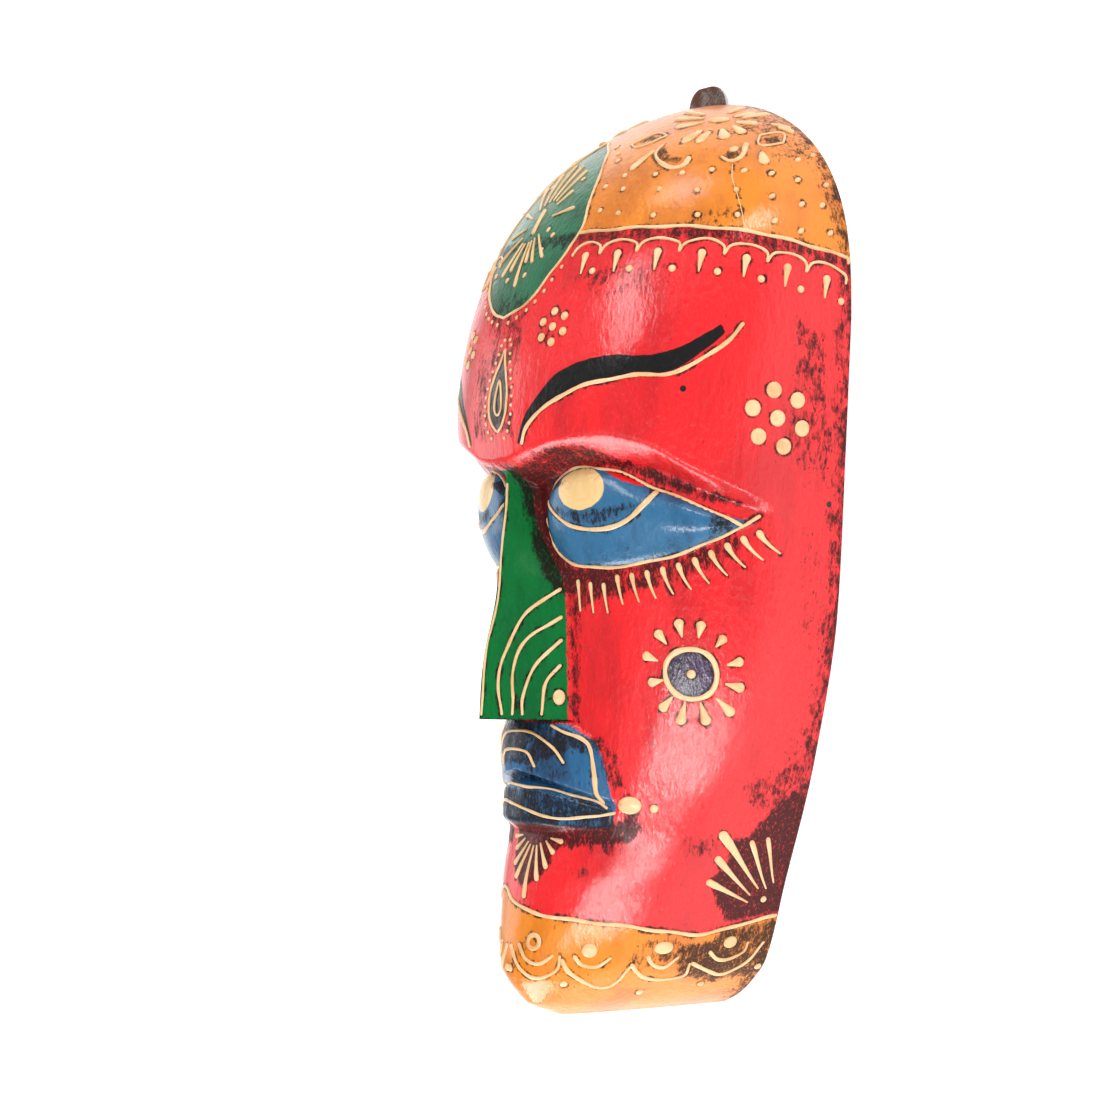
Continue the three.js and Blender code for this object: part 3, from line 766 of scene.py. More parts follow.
@dataclass(frozen=True)
class BareWood:
    """Pale hardwood left with the marks of the gouge and a little smoke stain."""

    name: str = "bare_wood"
    pale: str = "#B98A5A"
    dark: str = "#7C5230"
    stain: str = "#3D281B"
    grain: Grain = Grain(26, 6, 0.65, (7.0, 0.5, 7.0), 0.6)
    grain_tone: Ramp = (0.35, 0.68)
    pores: Grain = Grain(160, 3, 0.7, (6.0, 0.35, 6.0))
    pore_from: Ramp = (0.6, 0.72, 0.0, 0.6)
    smoke: Grain = Grain(14, 5, 0.6)
    smoke_from: Ramp = (0.55, 0.8, 0.0, 0.7)
    cut_scale: float = 70.0
    cut_stretch: Triple = (1.0, 0.45, 1.0)
    cut_relief: Pair = (0.7, 0.0012)
    pore_relief: Pair = (0.4, 0.0003)
    pore_rough: Ramp = (0.3, 0.7, 0.55, 0.8)

    def build(self) -> bpy.types.Material:
        """The material of the back and the hollow."""
        sheet = NodeSheet(self.name)
        pores = sheet.noise(self.pores)
        cuts = sheet.add("ShaderNodeTexVoronoi", feature="SMOOTH_F1")
        sheet.join(sheet.stretched(self.cut_stretch), cuts.inputs["Vector"])
        sheet.join(self.cut_scale, cuts.inputs["Scale"])
        colour = sheet.mix(sheet.spread(sheet.noise(self.grain), *self.grain_tone), self.pale, self.dark)
        colour = sheet.mix(sheet.spread(pores, *self.pore_from), colour, self.stain)
        colour = sheet.mix(sheet.spread(sheet.noise(self.smoke), *self.smoke_from), colour, self.stain)
        normal = sheet.bump(pores, *self.pore_relief, sheet.bump(cuts.outputs["Distance"], *self.cut_relief))
        return sheet.finish(Base_Color=colour, Roughness=sheet.spread(pores, *self.pore_rough), Normal=normal)


@dataclass(frozen=True)
class AgedIron:
    """Dark hammered iron with brown rust."""

    name: str
    metal: str = "#7A6A63"
    rust: str = "#6E4835"
    dark: str = "#3B302D"
    metallic: float = 0.6
    patches: Grain = Grain(120, 6, 0.65)
    rust_from: Ramp = (0.48, 0.62)
    rust_rough: Ramp = (0.35, 0.65, 0.42, 0.85)
    rust_relief: Pair = (0.5, 0.0005)
    fine: Grain = Grain(900, 4, 0.6)
    fine_tone: Ramp = (0.4, 0.7)
    fine_relief: Pair = (0.4, 0.00012)

    def build(self) -> bpy.types.Material:
        """The material of the hanger or the nails."""
        sheet = NodeSheet(self.name)
        patches, fine = sheet.noise(self.patches), sheet.noise(self.fine)
        colour = sheet.mix(sheet.spread(fine, *self.fine_tone), self.metal, self.dark)
        colour = sheet.mix(sheet.spread(patches, *self.rust_from), colour, self.rust)
        normal = sheet.bump(fine, *self.fine_relief, sheet.bump(patches, *self.rust_relief))
        rough = sheet.spread(patches, *self.rust_rough)
        return sheet.finish(Base_Color=colour, Roughness=rough, Normal=normal, Metallic=self.metallic)


@dataclass(frozen=True)
class PaleFloor:
    """Matt near-white studio floor."""

    name: str = "studio_floor"
    colour: str = "#FAFAFA"
    glow: float = 0.36
    roughness: float = 0.9
    grain: Grain = Grain(300, 2, 0.5)
    relief: Pair = (0.05, 0.0001)

    def build(self) -> bpy.types.Material:
        """The material of the floor."""
        sheet = NodeSheet(self.name)
        normal = sheet.bump(sheet.noise(self.grain), *self.relief)
        return sheet.finish(Base_Color=linear(self.colour), Roughness=self.roughness, Normal=normal,
                            Emission_Strength=self.glow)


SURFACE = FaceSurface(CarvedFace())


@dataclass(frozen=True)
class PaintPlan:
    """Where each colour lies on the face, in mm of side and height."""

    cap_line: Stations = (
        (0, 312.5), (26, 312.5), (61, 312.7), (80, 312), (100, 310), (122, 306), (146, 301), (175, 296),
    )
    chin_middle: float = -10.0      # side where the chin line is highest
    chin_line: Stations = (
        (0, 51.6), (3, 51), (6, 48.9), (10, 46.8), (19, 44.2), (32, 42), (46, 40.5), (61, 38.6), (76, 36),
        (91, 34), (103.5, 35.5), (115, 38), (128, 39.6), (150, 41),
    )
    disc_near: Stations = (
        (280, -3), (282.2, 4.6), (285, 10.5), (290, 16.0), (296.5, 19.5), (301.5, 22.2), (307, 23.8),
        (315, 24.8), (323.7, 20.9), (331, 16.6), (339, 10.9), (345, 4.5), (350, -1.9), (356, -14),
    )
    disc_middle: Stations = ((280, -3), (290, -4.5), (315, -10), (356, -14))
    nose_top: float = 219.0
    iris_centre: Pair = (35.6, 211.2)
    iris_half: Pair = (11.0, 8.3)
    lid_gap: tuple[float, float, float] = (53.0, 8.0, 2.2)
    lips_low: float = 78.0
    lips_high: float = 118.6
    brow_top: tuple[Pair, ...] = (
        (17.5, 229), (19, 233), (23.3, 241), (30.1, 248.5), (36.8, 255.5), (47.3, 260), (60, 262.4),
        (69.7, 262), (78.4, 262.6), (87.2, 265.2), (95.2, 269.8), (101.4, 274),
    )
    brow_foot: tuple[Pair, ...] = (
        (19.5, 229), (23.4, 236.4), (33.5, 244.4), (45, 249), (56, 252), (68, 254.2), (82, 255), (89, 258),
        (95, 262.4), (100.5, 267.4), (103.4, 270.4),
    )
    brow_line: tuple[Pair, ...] = (
        (20.1, 228.6), (24.2, 236.3), (35.2, 244.2), (46, 249.3), (56.2, 252), (68.6, 254.2), (82.3, 254.6),
        (91.6, 257.5), (100.1, 263.5), (106.3, 268.9), (109.9, 274.5),
    )
    drop_centre: float = 5.0
    drop_top: float = 267.0
    drop_bottom: float = 234.0
    drop_grows_wide: float = 0.8        # share of a margin that it gains to each side
    drop_half_widths: Stations = (
        (234, 0.3), (237, 4.2), (243, 6.4), (248, 6.4), (256, 3.8), (263, 1.0), (267, 0.3),
    )
    flower_centre: Pair = (75.0, 139.0)
    flower_radius: float = 9.4

    def drop_outline(self, grow: float = 0.0, steps: int = 16) -> Path:
        """Closed outline of the drop between the brows, grown by a margin."""
        centre = (self.drop_bottom + self.drop_top) / 2
        half = (self.drop_top - self.drop_bottom) / 2
        right = []
        for i in range(steps + 1):
            h = self.drop_bottom + (self.drop_top - self.drop_bottom) * i / steps
            side = self.drop_centre + float(through(self.drop_half_widths, h)) + grow * self.drop_grows_wide
            right.append((side, centre + (h - centre) * (half + grow) / half))
        left = [(2 * self.drop_centre - s, h) for s, h in reversed(right)]
        return right + left

    def disc_outline(self, grow: float = 0.0) -> Path:
        """Closed outline of the green oval, grown by a margin."""
        near = flowing([(s, h) for h, s in self.disc_near], step=1.5)
        far = [(2 * float(through(self.disc_middle, h)) - s, h) for s, h in reversed(near)]
        outline = np.array(near + far[1:-1])
        ahead = np.roll(outline, -2, axis=0) - np.roll(outline, 2, axis=0)
        away = np.stack([ahead[:, 1], -ahead[:, 0]], -1)
        away /= np.maximum(np.linalg.norm(away, axis=1, keepdims=True), 1e-6)
        return [(float(s), float(h)) for s, h in outline + away * grow]

    def clear_of_disc(self, place: Pair, margin: float = 2.0) -> bool:
        """True where a place lies outside the green oval."""
        return float(inside_distance(np.array([place]), self.disc_outline())[0]) < -margin

    def distances(self, side: np.ndarray, height: np.ndarray, face: CarvedFace) -> dict[str, np.ndarray]:
        """How far each place lies inside each colour.

        Args:
            side: signed side distance of each place.
            height: height of each place.
            face: the carving, for its lids, nose and lips.

        Returns:
            Attribute name to distances in mm, positive inside.
        """
        far = np.abs(side)
        middle, width, gap = self.lid_gap
        bare = gap * np.exp(-((far - middle) / width) ** 2)
        upper, lower = through(face.upper_lids, far) - bare, through(face.lower_lids, far)
        lids = np.minimum(upper - height, height - lower)
        eye = np.where((far > face.eye_inner) & (far < face.eye_outer), lids, -5)
        iris = min(self.iris_half) * (1 - np.hypot((far - self.iris_centre[0]) / self.iris_half[0],
                                                   (height - self.iris_centre[1]) / self.iris_half[1]))
        nose = np.minimum.reduce([through(face.nose_half_widths, height) - far - 0.3,
                                  height - face.nose_bottom + 0.6, self.nose_top - height])
        lips = np.minimum.reduce([through(face.lip_half_widths, height) - far, height - self.lips_low,
                                  self.lips_high - height])
        places = np.stack([far, height], -1)
        brow = inside_distance(places, flowing(self.brow_top, step=3) + flowing(self.brow_foot, step=3)[::-1])
        drop = inside_distance(np.stack([side, height], -1), self.drop_outline())
        disc = inside_distance(np.stack([side, height], -1), self.disc_outline())
        flower = self.flower_radius - np.hypot(far - self.flower_centre[0], height - self.flower_centre[1])
        return {
            "paint_cap": height - through(self.cap_line, far),
            "paint_chin": through(self.chin_line, np.abs(side - self.chin_middle)) - height,
            "paint_disc": disc,
            "paint_nose": nose,
            "paint_eye": eye,
            "paint_iris": iris,
            "paint_lips": lips,
            "paint_brow": brow,
            "paint_drop": drop,
            "paint_flower": flower,
        }


@dataclass(frozen=True)
class Smudge:
    """A soft patch of dark wash or of wear."""

    side: float
    height: float
    half_side: float
    half_height: float
    strength: float
    fades: Pair = (0.35, 1.15)      # shares of its half-size between which it fades out

    def value(self, side: np.ndarray, height: np.ndarray) -> np.ndarray:
        """Strength of the patch at each place."""
        across = (np.abs(side) - self.side) / self.half_side
        up = (height - self.height) / self.half_height
        return self.strength * (1 - smooth_step(*self.fades, np.hypot(across, up)))


@dataclass(frozen=True)
class Ground:
    """An outlined area where the dark wash was left standing."""

    outline: tuple[Pair, ...]
    strength: float
    soft: float = 4.0       # mm over which it fades
    middle: float = 0.0     # side that the outline is measured from, the same to both hands

    def value(self, side: np.ndarray, height: np.ndarray) -> np.ndarray:
        """Strength of the wash at each place."""
        inside = inside_distance(np.stack([np.abs(side - self.middle), height], -1), self.outline)
        return self.strength * smooth_step(-self.soft / 2, self.soft / 2, inside)


@dataclass(frozen=True)
class WashPlan:
    """Where the dark wash stays in the low places and where paint is rubbed away."""

    grounds: tuple[Ground, ...] = (
        Ground(((-1, 82), (-1, 53), (3, 54), (8, 58), (11.5, 63), (13, 70), (14, 82)), 1.0, 3.0, 5.6),
        Ground(((14, 82), (13, 68), (25, 69.5), (34, 70.5), (48, 71.5), (54, 77), (50, 84), (42, 80),
                (21, 79)), 0.9),
        Ground(((87, 72), (98, 74), (106, 84), (119, 93), (136, 66), (124, 41), (108, 40), (94, 39), (88, 47),
                (84, 55), (91, 64)), 1.0),
        Ground(((74, 29), (88, 31), (91, 34.5), (119, 39), (124, 26), (118, 17), (108, 14), (86, 12.5),
                (72, 16)), 0.82),
        Ground(((60, 32), (70, 34), (78, 30), (77, 21), (60, 23)), 0.5),
        Ground(((23, 181), (45, 180.5), (63, 183), (81, 188), (98, 194), (100, 190), (83, 179), (62, 173),
                (38, 167), (24, 160)), 0.72, 5.0),
        Ground(((2, 221), (13, 220), (27, 214), (18, 209), (15.5, 196), (17.5, 188), (26, 181), (31, 171),
                (19, 169), (14, 178), (9, 188), (6, 198), (3, 212)), 1.0, 3.5),
        Ground(((22, 179), (30, 177), (29, 150), (26.5, 121), (22.5, 121)), 0.56, 3.0),
        Ground(((-1, 119), (14, 118), (31, 113.5), (33, 107), (27, 109), (20, 106), (12, 103), (6, 101.5),
                (-1, 102)), 0.8, 3.5),
        Ground(((-1, 92), (12, 92), (30, 89), (42, 86), (43, 79), (30, 77), (-1, 78)), 0.74, 2.5),
        Ground(((33, 113), (38, 103), (41, 92), (47, 94), (45, 105), (38, 114)), 0.6, 3.0),
        Ground(((8, 219), (27, 227), (42, 228.5), (52, 224), (66, 218), (82, 211.5), (101, 206.4), (101, 204),
                (84, 206), (70, 211.5), (50, 219), (36, 220.5), (22, 217), (12, 213)), 0.78, 4.0),
        Ground(((90, 95), (108, 78), (124, 84), (131, 112), (124, 122), (118, 104)), 0.52, 8.0),
        Ground(((130, 277), (146, 270), (153, 225), (146, 213), (139, 240)), 0.5, 6.0),
        Ground(((20, 204), (27, 199.5), (39, 196.5), (50, 198.5), (60, 205), (50, 204.5), (38, 202),
                (28, 204)), 0.6, 3.5),
        Ground(((86, 201), (93, 199.4), (99, 196.8), (92, 193.6), (84, 191)), 0.62, 3.0),
        Ground(((-1, 292), (12, 290), (17, 262), (15, 232), (-1, 230)), 0.42, 8.0),
        Ground(((15, 351.8), (19, 355), (27, 352.6), (20, 350.8)), 0.85, 1.5),
        Ground(((74.5, 350), (79.5, 351.2), (86, 347.3), (79, 347.2)), 0.85, 1.5),
        Ground(((34.5, 348), (35.5, 344.5), (42, 341.3), (50.5, 338.8), (52, 341), (44, 343.5)), 0.7, 2.0),
        Ground(((67, 342), (73, 340), (76, 342), (71, 347)), 0.6, 2.0),
    )
    smudges: tuple[Smudge, ...] = (
        Smudge(8, 119.4, 24, 1.8, 0.7),
        Smudge(14, 99, 18, 5, 0.4),
        Smudge(40, 71, 18, 5, 0.42),
        Smudge(117, 92, 8, 26, 0.5),
        Smudge(78, 71, 12, 7, 0.4),
        Smudge(62, 26, 16, 9, 0.3),
        Smudge(140, 240, 11, 36, 0.42),
        Smudge(128, 168, 15, 42, 0.24),
        Smudge(55, 292, 34, 9, 0.34),
        Smudge(75, 358, 26, 8, 0.5),
        Smudge(98, 345, 22, 10, 0.36),
        Smudge(86, 316, 14, 5, 0.36),
        Smudge(30, 60, 6, 3, 0.36),
    )
    cap_start: Pair = (-1.5, 0.5)       # mm under the cap line
    cap_end: Pair = (2.5, 9.0)
    cap_strength: float = 0.62
    rim_band: float = 14.0
    rim_strength: float = 0.6
    worn_rim: Pair = (5.0, 0.45)        # mm from the back's edge, and strength
    worn: tuple[Smudge, ...] = (Smudge(27, 146, 4.5, 30, 0.5), Smudge(0, 366, 60, 12, 0.3))

    def wash(self, side: np.ndarray, height: np.ndarray, plan: PaintPlan, out: np.ndarray) -> np.ndarray:
        """Amount of dark wash at each place, from 0 to 1."""
        total = np.maximum.reduce([s.value(side, height) for s in (*self.grounds, *self.smudges)])
        under_cap = through(plan.cap_line, np.abs(side)) - height
        band = self.cap_strength * smooth_step(*self.cap_start, under_cap)
        band = band * (1 - smooth_step(*self.cap_end, under_cap))
        rim = self.rim_strength * (1 - smooth_step(0, self.rim_band, out))
        return np.maximum.reduce([total, band, rim])

    def wear(self, side: np.ndarray, height: np.ndarray, out: np.ndarray) -> np.ndarray:
        """Amount of rubbing through the paint at each place, from 0 to 1."""
        reach, strength = self.worn_rim
        rim = strength * (1 - smooth_step(0, reach, out))
        return np.maximum.reduce([*(s.value(side, height) for s in self.worn), rim])


PLAN = PaintPlan()


class Trail:
    """Collects raised lines, drops and dots of thick paint for one zone of the face."""

    def __init__(self, name: str) -> None:
        """Starts an empty zone.

        Args:
            name: name of the finished piece.
        """
        self.name = name
        self.floor_gap = 0.3    # mm that the paint stays above the plane of the back
        self.shake = 0.26       # mm that a hand-drawn line wanders
        self.unsteady = 0.11    # share by which its width varies
        self.calm_end = 6.0     # mm at each end over which it steadies
        self.step = 1.1
        self.end_steps = np.array([0.0, 0.06, 0.2, 0.42, 0.7, 1.0])     # shares of the round end
        self.points: list[np.ndarray] = []
        self.outward: list[np.ndarray] = []
        self.thick: list[float] = []
        self.flat: list[float] = []
        self.links: list[tuple[int, int]] = []
        self.dots: list[tuple[np.ndarray, np.ndarray, np.ndarray, tuple[float, float, float]]] = []
        self.marks: list[tuple[np.ndarray, float]] = []

    def stroke(self, path: Sequence[Pair], head: float = 1.9, tail: float | None = None, rise: float = 0.62,
               closed: bool = False, belly: float = 0.0, pinch: float = 0.7) -> None:
        """Adds a raised stroke that follows the face.

        Args:
            path: places along the stroke.
            head: full width in mm at its start.
            tail: full width in mm at its end, or the same as the head.
            rise: height over the face in mm where it is widest.
            closed: joins the end to the start.
            belly: share of the length over which it keeps the width of its head.
            pinch: power of the narrowing past the belly, less than 1 for a quick one.
        """
        tail = head if tail is None else tail
        pts = np.array(path, float)
        if closed:
            pts = np.vstack([pts, pts[:1]])
        run = np.concatenate([[0], np.cumsum(np.hypot(*np.diff(pts, axis=0).T))])
        length = run[-1]
        inner = np.linspace(0, length, max(3, int(length / self.step)) + 1)
        if closed:
            at = inner[:-1]
        else:
            between = inner[(inner > head / 2) & (inner < length - tail / 2)]
            start, end = self.end_steps * head / 2, length - self.end_steps * tail / 2
            at = np.unique(np.concatenate([start, between, end]))
            at = at[(at >= 0) & (at <= length)]
        first = len(self.points)
        phase = 1.7 * len(self.marks)
        for d in at:
            steady = 0.0 if belly else min(1.0, d / self.calm_end, (length - d) / self.calm_end)
            side = np.interp(d, run, pts[:, 0]) + steady * self.shake * math.sin(0.17 * d + phase)
            height = np.interp(d, run, pts[:, 1]) + steady * self.shake * math.sin(0.29 * d + 2 * phase)
            along = max(0.0, d / length - belly) / (1 - belly)
            half = (head + (tail - head) * (along ** pinch if belly else along)) / 2
            waver = math.sin(0.37 * d + phase) + 0.6 * math.sin(0.98 * d + 3 * phase)
            half *= 1 + steady * self.unsteady * waver
            full = half
            if not closed:
                for near, radius in ((d, head / 2), (length - d, tail / 2)):
                    if near < radius:
                        half = min(half, full * math.sqrt(max(0.02, 1 - (1 - near / radius) ** 2)))
            lift = rise * (0.35 + 0.65 * min(1, full / (max(head, tail) / 2))) * half / full
            point, normal = SURFACE.lift(side, height, 0)
            point[2] = max(point[2], (half + self.floor_gap) * MM)
            self.points.append(point)
            self.outward.append(normal)
            self.thick.append(half * MM)
            self.flat.append(lift / half)
            self.marks.append((point, half))
        count = len(self.points) - first
        self.links += [(first + i, first + i + 1) for i in range(count - 1)]
        if closed:
            self.links.append((first + count - 1, first))

    def dot(self, place: Pair, wide: float, rise: float = 0.8, long: float | None = None,
            lean: float = 0.0) -> None:
        """Adds a raised dot.

        Args:
            place: its centre.
            wide: width in mm.
            rise: height over the face in mm.
            long: length in mm where the dot is oval.
            lean: direction of its length in degrees, 0 round the face and 90 to the crown.
        """
        long = wide if long is None else long
        point, normal = SURFACE.lift(*place, 0)
        ahead = SURFACE.lift(*around(place, 0.6, lean), 0)[0] - point
        ahead -= normal * ahead.dot(normal)
        size = (long / 2 * MM, wide / 2 * MM, rise * MM)
        point[2] = max(point[2], (long / 2 + self.floor_gap) * MM)
        self.dots.append((point, normal, ahead / max(np.linalg.norm(ahead), 1e-9), size))
        self.marks.append((point, (wide + long) / 4))

    def drop(self, head: Pair, tail: Pair, wide: float, narrow: float = 0.7, rise: float = 0.85,
             pinch: float = 0.7, bend: float = 0.0) -> None:
        """Adds a drop that is thick at its head and runs out to its tail."""
        steps = max(3, int(math.dist(head, tail) / 0.9))
        path = []
        for i in range(steps + 1):
            t = i / steps
            sag = bend * 4 * t * (1 - t)
            path.append((head[0] + (tail[0] - head[0]) * t - sag, head[1] + (tail[1] - head[1]) * t))
        self.stroke(path, wide, narrow, rise, belly=0.2, pinch=pinch)

    def build(self, material: bpy.types.Material) -> bpy.types.Object:
        """Sweeps the strokes and sets the dots.

        Args:
            material: finish of the raised paint.

        Returns:
            The finished piece, riding on the body.
        """
        bodies = []
        if self.points:
            mesh = bpy.data.meshes.new(self.name + "_strokes")
            mesh.from_pydata(self.points, self.links, [])
            for key, rows in (("thick", self.thick), ("flat", self.flat), ("centre", self.points),
                              ("outward", self.outward)):
                store(mesh, key, rows)
            bodies.append(run_tree(mesh, STROKE_TREE, {"Profile Sides": 12, "Finish": material}))
        if self.dots:
            mesh = bpy.data.meshes.new(self.name + "_dots")
            mesh.from_pydata([d[0] for d in self.dots], [], [])
            for index, key in ((1, "outward"), (2, "ahead"), (3, "size")):
                store(mesh, key, [d[index] for d in self.dots])
            bodies.append(run_tree(mesh, DOT_TREE, {"Segments": 14, "Rings": 8, "Finish": material}))
        piece = joined(bodies, self.name, material)
        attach(piece, "root")
        LOG.info("%s: %d faces", self.name, len(piece.data.polygons))
        return piece


class GeometrySheet:
    """Short ways to place and join Geometry Nodes."""

    def __init__(self, name: str, counts: Sequence[str]) -> None:
        """Starts a tree with a geometry, some whole numbers and a material as its inputs.

        Args:
            name: the tree's name.
            counts: names of the whole numbers.
        """
        self.tree = bpy.data.node_groups.new(name, "GeometryNodeTree")
        sockets = [("Geometry", "Geometry"), *((label, "Int") for label in counts), ("Finish", "Material")]
        for label, kind in sockets:
            self.tree.interface.new_socket(label, in_out="INPUT", socket_type="NodeSocket" + kind)
        self.tree.interface.new_socket("Geometry", in_out="OUTPUT", socket_type="NodeSocketGeometry")
        self.source = self.add("NodeGroupInput").outputs

    def add(self, kind: str, inputs: dict[object, object] | None = None, **values: object) -> bpy.types.Node:
        """New node with its properties set and its inputs linked or set."""
        node = self.tree.nodes.new(kind)
        for key, value in values.items():
            setattr(node, key, value)
        for key, value in (inputs or {}).items():
            if isinstance(value, Socket):
                self.tree.links.new(value, node.inputs[key])
            else:
                node.inputs[key].default_value = value
        return node

    def stored(self, name: str, kind: str = "FLOAT_VECTOR") -> Socket:
        """Socket of an attribute stored on the incoming geometry."""
        node = self.add("GeometryNodeInputNamedAttribute", {"Name": name}, data_type=kind)
        return next(o for o in node.outputs if o.enabled and o.name == "Attribute")

    def vectors(self, operation: str, first: object, second: object, into: object = 1) -> bpy.types.Node:
        """Vector Math node."""
        return self.add("ShaderNodeVectorMath", {0: first, into: second}, operation=operation)

    def numbers(self, operation: str, first: object, second: object) -> Socket:
        """Math node."""
        return self.add("ShaderNodeMath", {0: first, 1: second}, operation=operation).outputs[0]

    def pressed(self, mesh: Socket) -> Socket:
        """Swept paint pressed toward the face by the share stored on it."""
        place = self.add("GeometryNodeInputPosition").outputs[0]
        outward = self.stored("outward")
        offset = self.vectors("SUBTRACT", place, self.stored("centre")).outputs[0]
        above = self.vectors("DOT_PRODUCT", offset, outward).outputs["Value"]
        amount = self.numbers("MULTIPLY", above, self.numbers("SUBTRACT", 1.0, self.stored("flat", "FLOAT")))
        push = self.vectors("SCALE", outward, amount, "Scale").outputs[0]
        lowered = self.vectors("SUBTRACT", place, push).outputs[0]
        return self.add("GeometryNodeSetPosition", {"Geometry": mesh, "Position": lowered}).outputs[0]

    def finish(self, geometry: Socket) -> bpy.types.NodeTree:
        """Ends the tree in plain smooth geometry with its material."""
        realized = self.add("GeometryNodeRealizeInstances", {0: geometry}).outputs[0]
        smooth = self.add("GeometryNodeSetShadeSmooth", {"Geometry": realized}).outputs[0]
        inputs = {"Geometry": smooth, "Material": self.source["Finish"]}
        self.add("NodeGroupOutput", {"Geometry": self.add("GeometryNodeSetMaterial", inputs).outputs[0]})
        return self.tree


def stroke_tree() -> bpy.types.NodeTree:
    """Tree that sweeps a flattened round profile along edges, as thick as their attribute says."""
    sheet = GeometrySheet("paint_strokes", ("Profile Sides",))
    curve = sheet.add("GeometryNodeMeshToCurve", {"Mesh": sheet.source["Geometry"]}).outputs[0]
    circle = {"Radius": 1.0, "Resolution": sheet.source["Profile Sides"]}
    profile = sheet.add("GeometryNodeCurvePrimitiveCircle", circle).outputs["Curve"]
    sweep = sheet.add("GeometryNodeCurveToMesh", {"Curve": curve, "Profile Curve": profile, "Fill Caps": True,
                                                  "Scale": sheet.stored("thick", "FLOAT")})
    return sheet.finish(sheet.pressed(sweep.outputs[0]))


def dot_tree() -> bpy.types.NodeTree:
    """Tree that sets a flattened ball on each point, turned to the face."""
    sheet = GeometrySheet("paint_dots", ("Segments", "Rings"))
    counts = {label: sheet.source[label] for label in ("Segments", "Rings")}
    ball = sheet.add("GeometryNodeMeshUVSphere", {"Radius": 1.0, **counts}).outputs["Mesh"]
    points = sheet.add("GeometryNodeMeshToPoints", {"Mesh": sheet.source["Geometry"]}).outputs[0]
    turn = sheet.add("FunctionNodeAxesToRotation", {0: sheet.stored("outward"), 1: sheet.stored("ahead")},
                     primary_axis="Z", secondary_axis="X").outputs[0]
    placing = {"Points": points, "Instance": ball, "Rotation": turn, "Scale": sheet.stored("size")}
    return sheet.finish(sheet.add("GeometryNodeInstanceOnPoints", placing).outputs[0])


def run_tree(mesh: bpy.types.Mesh, tree: bpy.types.NodeTree, values: dict[str, object]) -> bpy.types.Mesh:
    """Runs a Geometry Nodes tree on a mesh and returns the plain result.

    Args:
        mesh: the incoming geometry.
        tree: the tree.
        values: value of each named input.

    Returns:
        The finished mesh.
    """
    carrier = placed(mesh.name, mesh)
    modifier = carrier.modifiers.new("nodes", "NODES")
    modifier.node_group = tree
    for item in tree.interface.items_tree:
        if item.in_out == "INPUT" and item.name in values:
            modifier[item.identifier] = values[item.name]
    return baked([carrier])


def joined(meshes: Sequence[bpy.types.Mesh], name: str, material: bpy.types.Material) -> bpy.types.Object:
    """One object from several meshes that share a material."""
    verts, faces, offset = [], [], 0
    for mesh in meshes:
        verts.append(corners_of(mesh))
        faces += [tuple(v + offset for v in p.vertices) for p in mesh.polygons]
        offset += len(mesh.vertices)
    whole = bpy.data.meshes.new(name)
    whole.from_pydata(np.vstack(verts), [], faces)
    whole.polygons.foreach_set("use_smooth", [True] * len(whole.polygons))
    whole.materials.append(material)
    return placed(name, whole)


STROKE_TREE = stroke_tree()
DOT_TREE = dot_tree()


